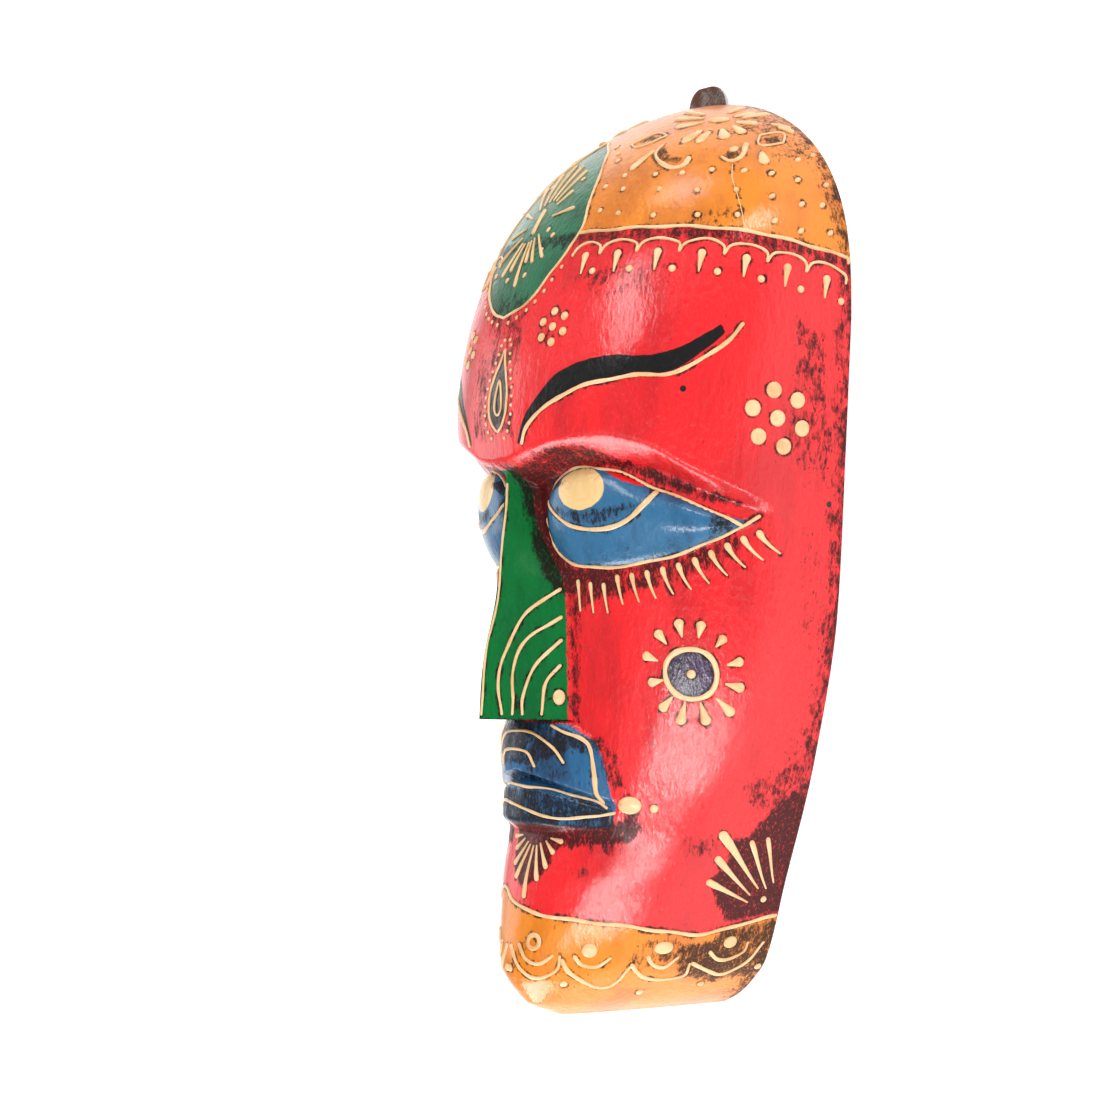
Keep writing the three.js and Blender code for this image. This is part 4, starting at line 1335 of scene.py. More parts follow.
@dataclass
class CrownOrnament:
    """Line, dots and flower on the yellow cap."""

    line_ends: Pair = (24.0, 158.0)
    dots: tuple[Pair, ...] = (
        (29.1, 336), (22.6, 332), (34.4, 329.9), (29.7, 321.3), (40.5, 319.4), (45.2, 335.2), (57.2, 335),
        (68.6, 335.8), (52.7, 328.5), (69.4, 327.2), (84.9, 327), (57.8, 317.4), (76.1, 316.9),
        (91.7, 316.7), (1.8, 351.4), (10, 347.4), (15.4, 343.8),
    )
    seeds: tuple[Pair, ...] = (
        (99, 340.3), (103.5, 342.8), (106.1, 331.5), (119.8, 330), (114.6, 321.5), (123.6, 321.5),
        (107.5, 314.5), (120.2, 310.7), (133.4, 310.4), (100.6, 324.4), (81.8, 335.1), (93.5, 334),
        (85.7, 339.7),
    )
    flower_centre: Pair = (43.3, 359.5)
    petals: tuple[tuple[Pair, Pair, float], ...] = (
        ((27.5, 357.2), (38.6, 358.5), 3.6), ((42.8, 348.8), (44.1, 354.6), 6.0),
        ((50, 348.3), (48.8, 353.6), 5.0), ((60.1, 349.7), (52.3, 354.6), 5.2),
        ((64.4, 352.1), (54.8, 355.9), 4.4), ((63, 357), (52.8, 357.9), 4.0),
        ((52.3, 362.8), (47.3, 360.7), 3.4), ((39, 367), (40.9, 363.0), 3.4),
        ((18.7, 361.8), (34.6, 360.8), 3.2), ((14, 366.2), (30.6, 363), 3.0),
        ((58.2, 362.9), (52, 360), 3.0), ((83.9, 353.1), (73.8, 355.3), 2.6),
        ((80, 355), (68.7, 356.8), 2.4),
    )
    leaves: tuple[tuple[Pair, Pair, float, float], ...] = (
        ((12.5, 351.2), (29.5, 353.4), 3.2, -3.2), ((71.8, 351.2), (85.4, 347.8), 3.4, -3.4),
    )
    hairline: tuple[Pair, ...] = ((74.8, 338), (80, 331.6), (85.5, 326.2), (92.2, 318.6), (96.9, 311.9))
    curls: tuple[tuple[Pair, ...], ...] = (
        ((33.8, 349), (34.4, 345.5), (41.7, 340.6), (50.1, 337.8), (54.8, 338.6), (53.4, 342.2)),
        ((67, 341.5), (73.2, 339.4), (75.4, 341.5), (71, 347.5)),
    )
    drops: tuple[tuple[Pair, Pair, float], ...] = (
        ((29.4, 338.2), (32.5, 346.5), 3.8), ((87.6, 338), (81.2, 343.4), 5.0),
        ((68, 344), (70, 345.5), 5.0),
    )

    def trail(self) -> Trail:
        """Lays the ornament out."""
        trail = Trail("crown_ornament")
        for flip in (1, -1):
            sides = np.linspace(*self.line_ends, 90)
            line = turned(flip, *zip(sides, through(PLAN.cap_line, sides)))
            trail.stroke([p for p in line if PLAN.clear_of_disc(p, -0.5)], 1.5)
            for place in turned(flip, *self.dots):
                if PLAN.clear_of_disc(place):
                    trail.dot(place, 2.4)
            for place in turned(flip, *self.seeds):
                trail.dot(place, 2.0, 0.8, 3.2, 90 - flip * 35)
            for *ends, wide in (*self.petals, *self.drops):
                head, tail = turned(flip, *ends)
                if PLAN.clear_of_disc(head):
                    trail.drop(head, tail, wide, 1.5, 1.0, 1.3)
            for curl in self.curls:
                trail.stroke(turned(flip, *flowing(curl, step=0.8)), 1.1, 2.7, 0.9)
            for leaf in self.leaves:
                if PLAN.clear_of_disc(*turned(flip, leaf[0])):
                    for bulge in leaf[2:]:
                        trail.stroke(turned(flip, *bow(*leaf[:2], bulge)), 1.0)
            trail.dot(*turned(flip, self.flower_centre), 5.0, 1.0, 9.5, 0)
        trail.stroke(flowing(self.hairline), 0.45, 0.3, 0.1, belly=0.5)
        return trail


@dataclass
class DiscOrnament:
    """Ring, beads and two fans of long petals on the green oval of the forehead."""

    bead_gap: float = 3.4
    bead_step: float = 4.4
    beads_below: float = 303.0
    bar: tuple[Pair, Pair] = ((-9.7, 314.9), (-12.6, 326))
    petals: tuple[tuple[float, float], ...] = (
        (142, 28), (126, 28), (109, 27), (90, 24.5), (68, 23), (47, 17), (10, 23), (-40, 26), (-53, 23),
        (-64, 20), (-74, 29), (-94, 21), (-109, 24), (-138, 25), (-166, 21), (166, 22),
    )
    root: float = 9.0
    dots: tuple[Pair, ...] = (
        (0.8, 337.5), (1.9, 316), (7.7, 313.2), (-12.1, 296), (1.2, 297.2), (5.3, 307.1), (-26, 337),
        (-27, 299),
    )

    def trail(self) -> Trail:
        """Lays the ornament out."""
        trail = Trail("disc_ornament")
        trail.stroke(PLAN.disc_outline(), 1.25, closed=True)
        outline = PLAN.disc_outline(self.bead_gap)
        run = 0.0
        for before, place in zip(outline, outline[1:] + outline[:1]):
            run += math.dist(before, place)
            if run > self.bead_step and place[1] < self.beads_below:
                trail.dot(place, 1.5, 0.6, 1.9, 90)
                run = 0.0
        low, high = self.bar
        middle = ((low[0] + high[0]) / 2, (low[1] + high[1]) / 2)
        for angle, reach in self.petals:
            trail.drop(around(middle, reach, angle), around(middle, self.root, angle), 1.8, 0.8)
        trail.stroke([low, high], 2.6, 2.6, 0.9)
        for place in self.dots:
            trail.dot(place, 1.9, 0.7, 2.7, 70)
        return trail


@dataclass
class BandOrnament:
    """Hanging scallops, drops and dots below the cap line."""

    valleys: tuple[float, ...] = (28, 42, 58.5, 76, 94, 112, 129.5, 149)
    valley_drop: float = 10.0
    peak_drop: float = 4.6
    flank: float = 1.5          # mm from a valley to the foot of the scallop's arch
    flank_drop: float = 1.6

    def trail(self) -> Trail:
        """Lays the ornament out."""
        trail = Trail("band_ornament")
        for flip in (1, -1):
            for left, right in zip(self.valleys, self.valleys[1:]):
                middle = (left + right) / 2
                heights = [float(through(PLAN.cap_line, s)) for s in (left, middle, right)]
                valleys = [(s, h - self.valley_drop) for s, h in ((left, heights[0]), (right, heights[2]))]
                flanks = [(s, h - self.peak_drop - self.flank_drop)
                          for s, h in ((left + self.flank, heights[0]), (right - self.flank, heights[2]))]
                peak = (middle, heights[1] - self.peak_drop)
                path = [valleys[0], flanks[0], peak, flanks[1], valleys[1]]
                trail.stroke(turned(flip, *flowing(path)), 1.1)
                top, low = heights[1] - self.peak_drop - 4.0, heights[1] - self.peak_drop - 13.0
                trail.drop((flip * middle, top), (flip * (middle + 1.8), low), 3.4)
                trail.dot((flip * right, heights[2] - self.valley_drop - 6.6), 2.9)
        return trail


@dataclass
class ForeheadOrnament:
    """Dot flowers, the drop between the brows and the line under each brow."""

    small_flower: Pair = (31.0, 274.5)
    small_flower_far: Pair = (-30.0, 268.5)
    small_radius: float = 6.2
    temple_flower: Pair = (128.0, 238.0)
    temple_radius: float = 11.0
    inner_drop: tuple[Pair, ...] = (
        (5.0, 254.5), (3.2, 246), (3.6, 242), (5.4, 240.5), (7.2, 242), (7.4, 246),
    )
    beads: int = 26

    def dot_flower(self, trail: Trail, centre: Pair, radius: float, wide: float) -> None:
        """Six dots round a seventh."""
        trail.dot(centre, wide)
        for i in range(6):
            trail.dot(around(centre, radius, 40 + 60 * i), wide)

    def trail(self) -> Trail:
        """Lays the ornament out."""
        trail = Trail("forehead_ornament")
        self.dot_flower(trail, self.small_flower, self.small_radius, 3.6)
        self.dot_flower(trail, self.small_flower_far, self.small_radius, 3.6)
        for flip in (1, -1):
            self.dot_flower(trail, *turned(flip, self.temple_flower), self.temple_radius, 6.5)
            trail.stroke(turned(flip, *flowing(PLAN.brow_line)), 1.6)
        trail.stroke(PLAN.drop_outline(), 1.0, closed=True)
        trail.stroke(flowing(self.inner_drop, closed=True), 0.85, closed=True)
        outline = np.array(PLAN.drop_outline(3.6))
        run = np.concatenate([[0], np.cumsum(np.hypot(*np.diff(outline, axis=0).T))])
        for i in range(self.beads):
            at = run[-1] * (i + 0.5) / self.beads
            trail.dot((np.interp(at, run, outline[:, 0]), np.interp(at, run, outline[:, 1])), 1.5, 0.6)
        return trail


@dataclass
class EyeOrnament:
    """Outlined lids, the edge of the iris and the row of lashes."""

    outline: tuple[Pair, ...] = (
        (98, 196.4), (90, 200.2), (82, 204.2), (72.2, 208.3), (64.7, 211.2), (56.5, 215), (48.9, 218),
        (39.7, 219.4), (33, 219.4), (26.8, 218), (19.9, 214), (15, 208.5), (13.6, 201), (14, 195),
        (15.8, 188.8), (20, 184.6), (27, 181.6), (39.1, 180.3), (53.1, 181.4), (63.4, 183.4), (75.4, 186.3),
        (84.8, 190.4), (94.5, 194.8), (99.5, 197), (105.5, 200.6),
    )
    iris_edge: tuple[Pair, ...] = (
        (66.5, 210), (61.5, 204.4), (56.3, 199.4), (48.9, 196.3), (39.5, 195), (31.3, 196.6), (24.6, 199.7),
        (19.5, 202.9), (15.5, 207),
    )
    lashes: int = 13
    low_lashes: int = 3
    first_lash: float = 28.0
    last_lash: float = 104.0
    low_lash_gap: float = 6.0
    lash_gap: float = 3.2

    def trail(self) -> Trail:
        """Lays the ornament out."""
        trail = Trail("eye_ornament")
        face = CarvedFace()
        for flip in (1, -1):
            trail.stroke(turned(flip, *flowing(self.outline)), 1.4, 1.5, 0.75)
            trail.stroke(turned(flip, *flowing(self.iris_edge)), 2.3, 1.2)
            for i in range(self.lashes):
                share = i / (self.lashes - 1)
                side = self.first_lash + (self.last_lash - self.first_lash) * share
                gap = self.low_lash_gap if i < self.low_lashes else self.lash_gap
                top = float(through(face.lower_lids, side)) - gap
                tail = (flip * (side + 0.8 + 8.2 * share ** 1.3), top - 12.6 + 3.5 * share)
                trail.drop((flip * side, top), tail, 1.7 + 1.1 * share, 0.7, 0.8, 0.45, flip * 1.3 * share)
        return trail


@dataclass
class NoseOrnament:
    """Line down the ridge and nested arcs over the nostril."""

    arcs: tuple[tuple[Pair, ...], ...] = (
        ((20.5, 172), (10, 162), (6, 147), (5, 133), (6, 121.8)),
        ((21, 161), (12, 153), (8.5, 140), (8.5, 121.8)),
        ((21, 152), (14, 142), (11, 130.5), (11, 121.8)),
        ((20.6, 142), (17, 135), (16, 128), (15.6, 121.8)),
    )

    def trail(self) -> Trail:
        """Lays the ornament out."""
        trail = Trail("nose_ornament")
        trail.stroke([(0.6, h) for h in np.linspace(121.5, 214, 60)], 1.0, rise=0.4)
        for flip in (1, -1):
            for arc in self.arcs:
                trail.stroke(turned(flip, *flowing(arc)), 1.5, 1.1)
            trail.dot((flip * 20, 129), 5.0, 0.9, 6.2, 90)
        return trail


@dataclass
class MouthOrnament:
    """Outlines and arcs on the lips, and the dots beyond their corner."""

    upper_edge: tuple[Pair, ...] = (
        (15.6, 118), (23, 115), (31, 112.4), (34, 109), (35, 100), (35.5, 92), (38, 87),
    )
    parting: tuple[Pair, ...] = ((0, 93.6), (7, 93), (22, 91), (35, 88), (40, 85.6))
    arcs: tuple[tuple[Pair, ...], ...] = (
        ((0, 115), (9, 114), (18, 109.5), (23, 103)),
        ((0, 108), (4, 107.6), (8, 106), (11, 101)),
    )
    lower_edge: tuple[Pair, ...] = (
        (-43, 84), (-33, 82.6), (-25, 82.6), (-17, 85), (-9, 86.6), (-2, 85.8), (5, 84), (15, 82), (24, 81),
        (33, 82.5), (43, 84),
    )

    def trail(self) -> Trail:
        """Lays the ornament out."""
        trail = Trail("mouth_ornament")
        for path in (self.lower_edge, *(both_ways(path) for path in (self.parting, *self.arcs))):
            trail.stroke(flowing(path), 1.2)
        for flip in (1, -1):
            trail.stroke(turned(flip, *flowing(self.upper_edge)), 1.1, 2.3)
            trail.dot((flip * 48.4, 87), 7.2, 1.1, 9.6, 0)
            trail.dot((flip * 58, 85.8), 3.4)
        return trail


@dataclass
class CheekOrnament:
    """Round flower on each cheek."""

    ring_radius: float = 10.0
    petals: tuple[tuple[float, float, float], ...] = (
        (127, 21.2, 14.5), (100, 21.8, 14.5), (75, 21.4, 14.5), (46, 20.6, 14.6), (14, 21.4, 14.4),
        (-16, 21.2, 13.4), (-46, 22.4, 13.0), (-76, 20.6, 11.2), (-106, 20.6, 11.2), (-132, 19.4, 11.6),
        (-168, 17.6, 11.2), (158, 20.2, 13.6),
    )

    def trail(self) -> Trail:
        """Lays the ornament out."""
        trail = Trail("cheek_ornament")
        for flip in (1, -1):
            [centre] = turned(flip, PLAN.flower_centre)
            trail.stroke(ring(centre, self.ring_radius), 2.1, closed=True)
            trail.dot(centre, 3.6)
            for angle, outer, inner in self.petals:
                way = angle if flip == 1 else 180 - angle
                trail.drop(around(centre, outer, way), around(centre, inner, way), 4.4, 0.6, 1.1, 0.85)
        return trail


@dataclass
class ChinOrnament:
    """Line, scallops and dots on the chin band, and the fans above it."""

    outer_scallops: tuple[tuple[Pair, ...], ...] = (
        ((1, 30), (6, 22), (13, 17), (22.5, 21), (24.5, 27)),
        ((25, 25.5), (28, 19.5), (35, 13), (46, 16), (53, 22)),
        ((53, 23), (57, 17), (65, 15), (75, 17), (78.5, 22)),
        ((79, 22), (86, 18), (92, 16), (104, 20), (113, 29)),
    )
    inner_scallops: tuple[tuple[Pair, ...], ...] = (
        ((6, 31), (10, 25), (16, 23), (22, 27)),
        ((30, 27), (33, 23), (39, 22), (45, 26)),
        ((60, 26), (62, 22.5), (67, 21), (73.5, 25)),
        ((87, 26.5), (91, 23), (96.5, 22.6), (103, 25), (105, 29.5)),
    )
    line_end: float = 124.0
    big_ring: Pair = (13.4, 32.0)
    big_dots: tuple[tuple[float, float, float, float], ...] = (
        (36.3, 29, 6.4, 6.2), (66.8, 29.1, 8.4, 5.6), (96.5, 29.8, 6.2, 5.4),
    )
    small_dots: tuple[Pair, ...] = ((1, 20.5), (23, 15), (51, 10), (80, 12), (110, 18))
    chin_fan_middle: float = 5.6
    chin_fan: tuple[tuple[Pair, Pair], ...] = (
        ((0.7, 48.5), (0.2, 69.4)), ((6.7, 55.7), (2.0, 69.7)), ((10.2, 60.8), (3.8, 70.7)),
        ((12.3, 66.7), (6.7, 71.7)), ((15.5, 71.6), (8.9, 72.8)),
    )
    jaw_fan: tuple[tuple[Pair, Pair], ...] = (
        ((84.9, 76), (106.8, 51.6)), ((84.7, 65.8), (103.4, 49)), ((82.7, 56), (102.7, 46.1)),
        ((98.9, 72), (110.6, 51.3)), ((106.2, 73), (113.9, 53.6)),
    )
    jaw_fan_widths: tuple[float, ...] = (3.9, 3.1, 2.9, 2.3, 2.0)
    jaw_dot: Pair = (110, 47)

    def trail(self) -> Trail:
        """Lays the ornament out."""
        trail = Trail("chin_ornament")
        sides = np.linspace(-self.line_end, self.line_end, 180)
        trail.stroke(list(zip(sides, through(PLAN.chin_line, np.abs(sides - PLAN.chin_middle)))), 1.5)
        for flip in (1, -1):
            for path in self.outer_scallops:
                trail.stroke(turned(flip, *flowing(path)), 1.9, 1.2)
            for path in self.inner_scallops:
                trail.stroke(turned(flip, *flowing(path)), 1.8, 1.1)
            trail.stroke(ring(*turned(flip, self.big_ring), 2.7, 0.9), 1.9, closed=True)
            for side, height, long, wide in self.big_dots:
                trail.dot((flip * side, height), wide, 1.1, long, 0)
            for place in turned(flip, *self.small_dots):
                trail.dot(place, 3.2)
            for head, tail in self.chin_fan:
                if flip == 1 or head[0] > 1:
                    trail.drop((self.chin_fan_middle + flip * head[0], head[1]),
                               (self.chin_fan_middle + flip * tail[0], tail[1]), 2.3)
            for wide, ends in zip(self.jaw_fan_widths, self.jaw_fan):
                trail.drop(*turned(flip, *ends), wide)
            trail.dot(*turned(flip, self.jaw_dot), 2.8)
        return trail


@dataclass
class MaskBody:
    """The carved block: painted face, flat rim, scooped back and the cuts for the hanger."""

    carving: CarvedFace = CarvedFace()
    washing: WashPlan = WashPlan()
    sharp_edge: float = 38.0            # degrees past which an edge stays sharp
    most_reach: float = 9.0             # mm to the raised paint past which nothing is told apart
    marked_above: float = 1.5           # mm over the back from which the distance is looked up
    columns: int = 128
    nose_columns: int = 20
    row_bands: tuple[tuple[float, float, float], ...] = (
        (0.0, 6.0, 0.8), (6.8, 72.0, 1.25), (73.0, 119.0, 1.0), (119.9, 120.05, 0.15), (121.0, 180.0, 1.25),
        (181.0, 232.0, 1.1), (233.0, 330.0, 1.35), (331.0, 364.0, 1.1), (364.6, 371.2, 0.6),
    )
    hollow_bottom: float = 26.0
    hollow_top: float = 330.0
    rim_width: float = 20.0
    face_wall: float = 24.0
    hollow_end_power: float = 4.0
    hollow_rows: int = 70
    hollow_columns: int = 48
    tab_half_width: float = 12.8
    tab_corner: float = 9.3
    tab_bottom: float = 331.7
    rebate_top: float = 398.0
    rebate_depth: float = 3.25
    pocket_height: float = 359.0
    pocket_radius: float = 8.0
    pocket_depth: float = 13.25
    nail_heights: Pair = (338.0, 347.0)
    nail_hole_radius: float = 1.3
    nail_hole_depth: float = 17.7
    nail_hole_step: float = 0.5
    past_back: float = -1.0

    def heights(self) -> list[float]:
        """Levels of the mesh rows."""
        levels: list[float] = []
        for start, end, step in self.row_bands:
            count = max(1, round((end - start) / step))
            levels += [start + (end - start) * i / count for i in range(count + 1)]
        return levels

    def shell(self) -> tuple[np.ndarray, list[tuple[int, ...]], list[int], np.ndarray]:
        """Closed shell of the block before the hanger is let in.

        Returns:
            Points in mm, faces, the material of each face, and the signed side of each point.
        """
        nose_share = self.nose_columns / self.columns
        shares = np.linspace(0, 1, self.columns + 1)
        points, sides, faces, kinds = [], [], [], []
        wide = 2 * self.columns + 1
        for height in self.heights():
            row, side = self.carving.row(height, shares, nose_share)
            mirror = row[:0:-1] * np.array([-1, 1, 1])
            points += [*mirror, *row]
            sides += [*(-side[:0:-1]), *side]
        rows = len(points) // wide
        for i in range(rows - 1):
            a = i * wide
            faces += [(a + j, a + j + 1, a + j + 1 + wide, a + j + wide) for j in range(wide - 1)]
        crown, chin = len(points), len(points) + 1
        chin_depth = self.carving.cheek_depths[0][1]
        points += [np.array([0, self.carving.mask_height, 0.0]), np.array([0, 0, chin_depth / 2])]
        sides += [0.0, 0.0]
        last = (rows - 1) * wide
        faces += [(last + j, last + j + 1, crown) for j in range(wide - 1)]
        faces += [(j + 1, j, chin) for j in range(wide - 1)] + [(0, wide - 1, chin)]
        kinds += [0] * len(faces)

        scoop_start = len(points)
        across = self.hollow_columns + 1
        for i in range(1, self.hollow_rows):
            eased = (1 - math.cos(math.pi * i / self.hollow_rows)) / 2
            height = self.hollow_bottom + (self.hollow_top - self.hollow_bottom) * eased
            t = (height - self.hollow_bottom) / (self.hollow_top - self.hollow_bottom)
            power = 1 / self.carving.section_power
            closing = max(0.0, 1 - abs(2 * t - 1) ** self.hollow_end_power) ** power
            width = max(0.0, self.carving.half_width(height) - self.rim_width) * closing
            depth = self.carving.depth_at(height, self.carving.cheek_depths) - self.face_wall
            depth = max(0.0, depth) * closing
            angles = np.linspace(-math.pi / 2, math.pi / 2, across)
            z = depth * np.cos(angles)
            z[0] = z[-1] = 0
            points += [np.array([width * math.sin(a), height, zz]) for a, zz in zip(angles, z)]
        low, high = len(points), len(points) + 1
        points += [np.array([0, self.hollow_bottom, 0.0]), np.array([0, self.hollow_top, 0.0])]
        sides += [0.0] * (len(points) - len(sides))
        count = self.hollow_rows - 1
        for i in range(count - 1):
            a, b = scoop_start + i * across, scoop_start + (i + 1) * across
            faces += [(b + j, b + j + 1, a + j + 1, a + j) for j in range(across - 1)]
        end = scoop_start + (count - 1) * across
        faces += [(scoop_start + j, scoop_start + j + 1, low) for j in range(across - 1)]
        faces += [(end + j + 1, end + j, high) for j in range(across - 1)]

        left = [i * wide for i in range(rows)]
        right = [i * wide + wide - 1 for i in range(rows)]
        outline = [*right, crown, *left[::-1]]
        scoop_right = [scoop_start + i * across + across - 1 for i in range(count)]
        scoop_left = [scoop_start + i * across for i in range(count)]
        opening = [low, *scoop_right, high, *scoop_left[::-1]]
        loops = [[Vector((points[i][0], points[i][1], 0)) for i in loop] for loop in (outline, opening)]
        order = [*outline, *opening]
        for corner in tessellate_polygon(loops):
            a, b, c = (order[i] for i in corner)
            pa, pb, pc = points[a], points[b], points[c]
            upward = (pb[0] - pa[0]) * (pc[1] - pa[1]) - (pb[1] - pa[1]) * (pc[0] - pa[0]) > 0
            faces.append((a, c, b) if upward else (a, b, c))
        kinds += [1] * (len(faces) - len(kinds))
        return np.array(points), faces, kinds, np.array(sides)

    def prism(self, name: str, outline: Path, top: float) -> bpy.types.Object:
        """Upright cutter from behind the back to a depth.

        Args:
            name: name of the cutter.
            outline: its corners as x and height in mm, anticlockwise.
            top: depth in mm at which it ends.

        Returns:
            The cutter's object.
        """
        count = len(outline)
        verts = [(x * MM, (h - HALF_LENGTH) * MM, z * MM) for z in (self.past_back, top) for x, h in outline]
        faces = [tuple(range(count))[::-1], tuple(range(count, 2 * count))]
        faces += [(i, (i + 1) % count, count + (i + 1) % count, count + i) for i in range(count)]
        mesh = bpy.data.meshes.new(name)
        mesh.from_pydata(verts, [], faces)
        for _ in range(2):
            mesh.materials.append(None)
        mesh.polygons.foreach_set("material_index", [1] * len(mesh.polygons))
        return placed(name, mesh)

    def cutters(self) -> list[bpy.types.Object]:
        """Cutters for the hanger's rebate, the pocket behind its hole and the nails."""
        half, corner = self.tab_half_width, self.tab_corner
        outline: Path = []
        for cx, start in ((-half + corner, 180), (half - corner, 270)):
            outline += [around((cx, self.tab_bottom + corner), corner, start + a) for a in range(0, 91, 9)]
        outline += [(half, self.rebate_top), (-half, self.rebate_top)]
        cuts = [self.prism("rebate", outline, self.rebate_depth)]
        pocket = ring((0, self.pocket_height), self.pocket_radius)
        cuts.append(self.prism("pocket", pocket, self.pocket_depth))
        for height in self.nail_heights:
            hole = ring((0, height), self.nail_hole_radius, self.nail_hole_step)
            cuts.append(self.prism("nail_hole", hole, self.nail_hole_depth))
        return cuts

    def build(self, paint: bpy.types.Material, wood: bpy.types.Material,
              marks: Sequence[tuple[np.ndarray, float]]) -> bpy.types.Object:
        """Makes the block and stores where each colour lies.

        Args:
            paint: finish of the face.
            wood: finish of the back.
            marks: places of the raised paint in metres with half their width in mm.

        Returns:
            The finished piece.
        """
        points, faces, kinds, sides = self.shell()
        mesh = bpy.data.meshes.new("carved_mask")
        mesh.from_pydata((points - np.array([0, HALF_LENGTH, 0])) * MM, [], faces)
        mesh.polygons.foreach_set("material_index", kinds)
        store(mesh, "side", sides)
        for material in (paint, wood):
            mesh.materials.append(material)
        block = placed("carved_mask", mesh)
        cuts = self.cutters()
        for cutter in cuts:
            modifier = block.modifiers.new(cutter.name, "BOOLEAN")
            modifier.operation, modifier.solver, modifier.object = "DIFFERENCE", "MANIFOLD", cutter
        made = baked([block, *cuts])
        made.name = "carved_mask"
        self.store_paint(made, marks)
        made.polygons.foreach_set("use_smooth", [True] * len(made.polygons))
        made.set_sharp_from_angle(angle=math.radians(self.sharp_edge))
        piece = placed("carved_mask", made)
        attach(piece, "root")
        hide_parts("mask_body")
        LOG.info("carved_mask: %d faces", len(made.polygons))
        return piece

    def store_paint(self, mesh: bpy.types.Mesh, marks: Sequence[tuple[np.ndarray, float]]) -> None:
        """Stores the distance of every vertex to each colour, to the raised paint, and its wash and wear."""
        count = len(mesh.vertices)
        co = corners_of(mesh)
        side = np.empty(count)
        mesh.attributes["side"].data.foreach_get("value", side)
        height = co[:, 1] / MM + HALF_LENGTH
        out = co[:, 2] / MM
        values = PLAN.distances(side, height, self.carving)
        values["wash"] = self.washing.wash(side, height, PLAN, out)
        values["wear"] = self.washing.wear(side, height, out)
        tree = KDTree(len(marks))
        for i, (place, _) in enumerate(marks):
            tree.insert(place, i)
        tree.balance()
        # distance to the raised paint; the face's finish darkens close to it, partly as painted shade and
        # partly as dark wash
        near = np.full(count, self.most_reach)
        for i, point in enumerate(co):
            if out[i] > self.marked_above:
                _, index, distance = tree.find(point)
                near[i] = min(self.most_reach, distance / MM - marks[index][1])
        values["ornament"] = near
        for name, data in values.items():
            store(mesh, name, data)


@dataclass
class Hardware:
    """Iron hanger and its two nails, which keep their solids."""

    def dress(self) -> None:
        """Gives each iron solid its finish."""
        hanger = AgedIron("hanger_iron").build()
        nails = AgedIron("nail_iron", metal="#85776F", metallic=0.7).build()
        for name, material in (("hanger_tab", hanger), ("lower_nail", nails), ("upper_nail", nails)):
            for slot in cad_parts[name].material_slots:
                slot.material = material
            LOG.info("%s: keeps its solid", name)


class LightKind(Enum):
    """What a studio light is for."""

    KEY = "key"
    FILL = "fill"
    SIDE = "side"
    LOW = "low"
    UNDER = "under"
    WALL = "wall"
    CROWN = "crown"


@dataclass(frozen=True)
class StudioLight:
    """Soft area light aimed at the mask."""

    kind: LightKind
    place: tuple[float, float, float]
    size: Pair
    watts: float
    roll: float = 0.0       # degrees about its own beam

    def build(self) -> None:
        """Adds the light."""
        data = bpy.data.lights.new(self.kind.value, "AREA")
        data.shape, data.size, data.size_y, data.energy = "RECTANGLE", *self.size, self.watts
        lamp = placed(self.kind.value, data)
        lamp.location = self.place
        aim = (-Vector(self.place)).to_track_quat("-Z", "Y") @ Quaternion((0, 0, 1), math.radians(self.roll))
        lamp.rotation_euler = aim.to_euler()


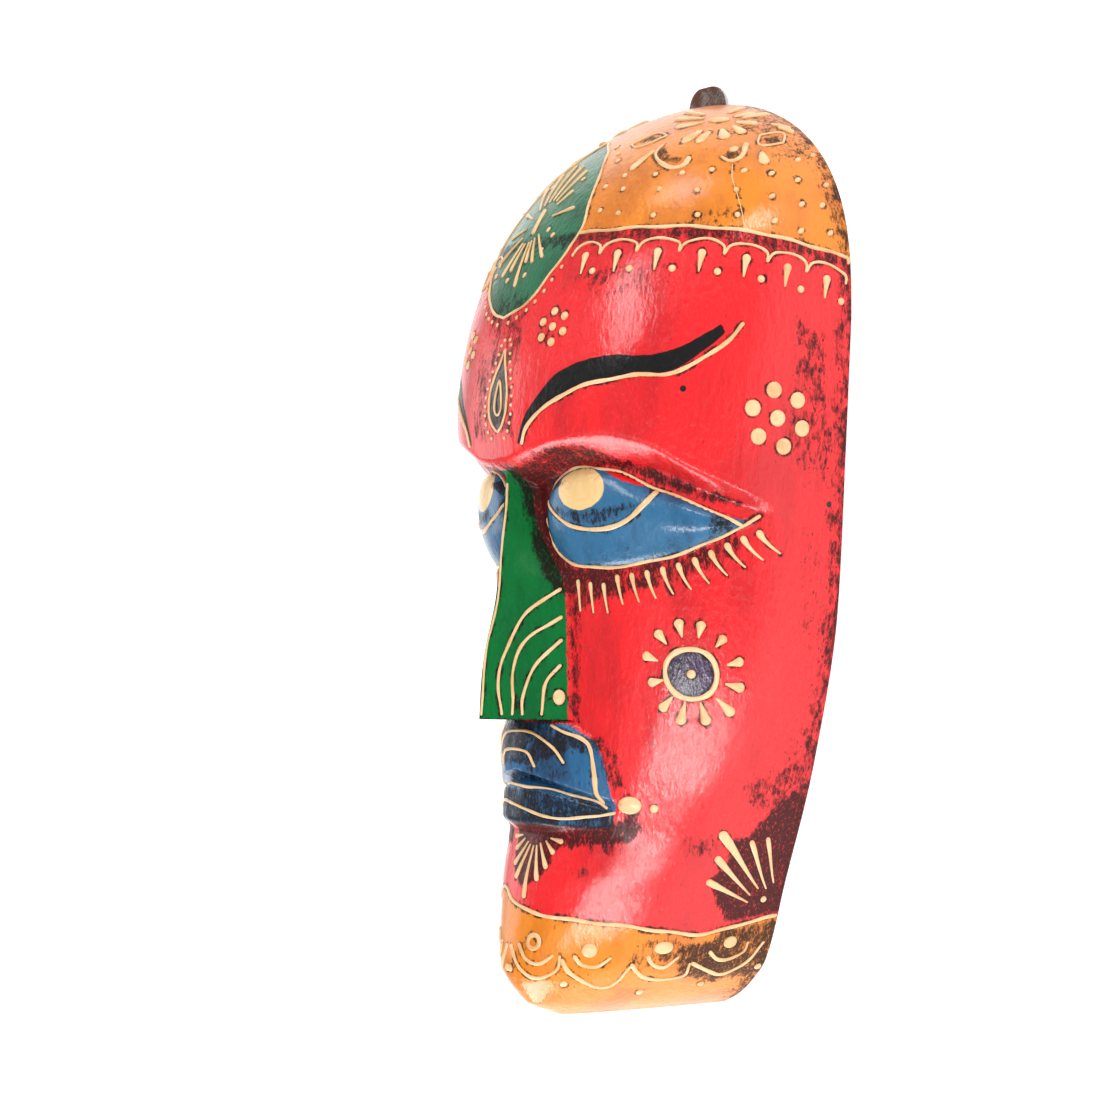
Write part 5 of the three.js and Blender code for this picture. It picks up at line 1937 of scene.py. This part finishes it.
@dataclass
class Studio:
    """Pale floor, soft lights and the camera."""

    distance: float = 1.2             # m from the mask's axis
    turn: float = 55.0                # degrees round from straight ahead
    axis_height: float = -0.0028
    axis_pixel: float = 712.0         # where the axis falls across the photograph
    focal_pixels: float = 2869.1
    sensor: float = 36.0
    floor_size: float = 6.0
    sky: float = 0.36
    lights: tuple[StudioLight, ...] = (
        StudioLight(LightKind.KEY, (0.31, 0.74, 1.15), (0.18, 0.8), 7.5, 67.0),
        StudioLight(LightKind.FILL, (0.56, -0.61, 1.19), (0.9, 0.8), 1.5),
        StudioLight(LightKind.SIDE, (1.0, 1.0, 0.2), (0.22, 0.24), 3.6),
        StudioLight(LightKind.LOW, (1.04, -0.664, 0.57), (0.07, 0.95), 7.5, -6.6),
        StudioLight(LightKind.UNDER, (-0.25, -1.2, 0.42), (0.8, 0.45), 12.0),
        StudioLight(LightKind.WALL, (-1.1, 0.1, 0.75), (0.8, 0.8), 4.5),
        StudioLight(LightKind.CROWN, (-0.09, 1.31, 0.5), (0.5, 0.22), 3.0),
    )

    def build(self) -> None:
        """Adds floor, lights and camera."""
        half = self.floor_size / 2
        corners = [(half * x, half * y, 0) for x, y in ((-1, -1), (1, -1), (1, 1), (-1, 1))]
        mesh = bpy.data.meshes.new("floor")
        mesh.from_pydata(corners, [], [(0, 1, 2, 3)])
        mesh.materials.append(PaleFloor().build())
        placed("floor", mesh)
        for light in self.lights:
            light.build()
        world = bpy.data.worlds.new("studio")
        world.use_nodes = True
        world.node_tree.nodes["Background"].inputs["Color"].default_value = (1, 1, 1, 1)
        world.node_tree.nodes["Background"].inputs["Strength"].default_value = self.sky
        bpy.context.scene.world = world
        bpy.context.scene.view_settings.view_transform = "Standard"
        self.camera()

    def camera(self) -> None:
        """Camera at the photograph's angle: out to the mask's left, with the crown up."""
        angle = math.radians(self.turn)
        out = Vector((math.sin(angle), 0, math.cos(angle)))
        across = Vector((math.cos(angle), 0, -math.sin(angle)))
        aside = math.atan((self.axis_pixel - PHOTO_PIXELS / 2) / self.focal_pixels)
        back = out * math.cos(aside) + across * math.sin(aside)
        right = across * math.cos(aside) - out * math.sin(aside)
        place = Vector((0, self.axis_height, 0)) + out * self.distance
        data = bpy.data.cameras.new("camera")
        data.sensor_width = self.sensor
        data.lens = self.sensor * self.focal_pixels / PHOTO_PIXELS
        camera = placed("camera", data)
        turn = Matrix((right, Vector((0, 1, 0)), back)).transposed().to_4x4()
        camera.matrix_world = Matrix.Translation(place) @ turn
        bpy.context.scene.camera = camera


ORNAMENTS: tuple[Callable[[], object], ...] = (
    CrownOrnament, DiscOrnament, BandOrnament, ForeheadOrnament, EyeOrnament, NoseOrnament, MouthOrnament,
    CheekOrnament, ChinOrnament,
)


def main() -> None:
    """Builds the mask in order and reports each piece."""
    logging.basicConfig(level=logging.INFO, format="%(name)s %(message)s")
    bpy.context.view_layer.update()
    Studio().build()
    trails = [zone().trail() for zone in ORNAMENTS]
    marks = [mark for trail in trails for mark in trail.marks]
    MaskBody().build(LacqueredPaint().build(), BareWood().build(), marks)
    cream = ReliefPaint().build()
    for trail in trails:
        trail.build(cream)
    Hardware().dress()


if __name__ == "__main__":
    main()
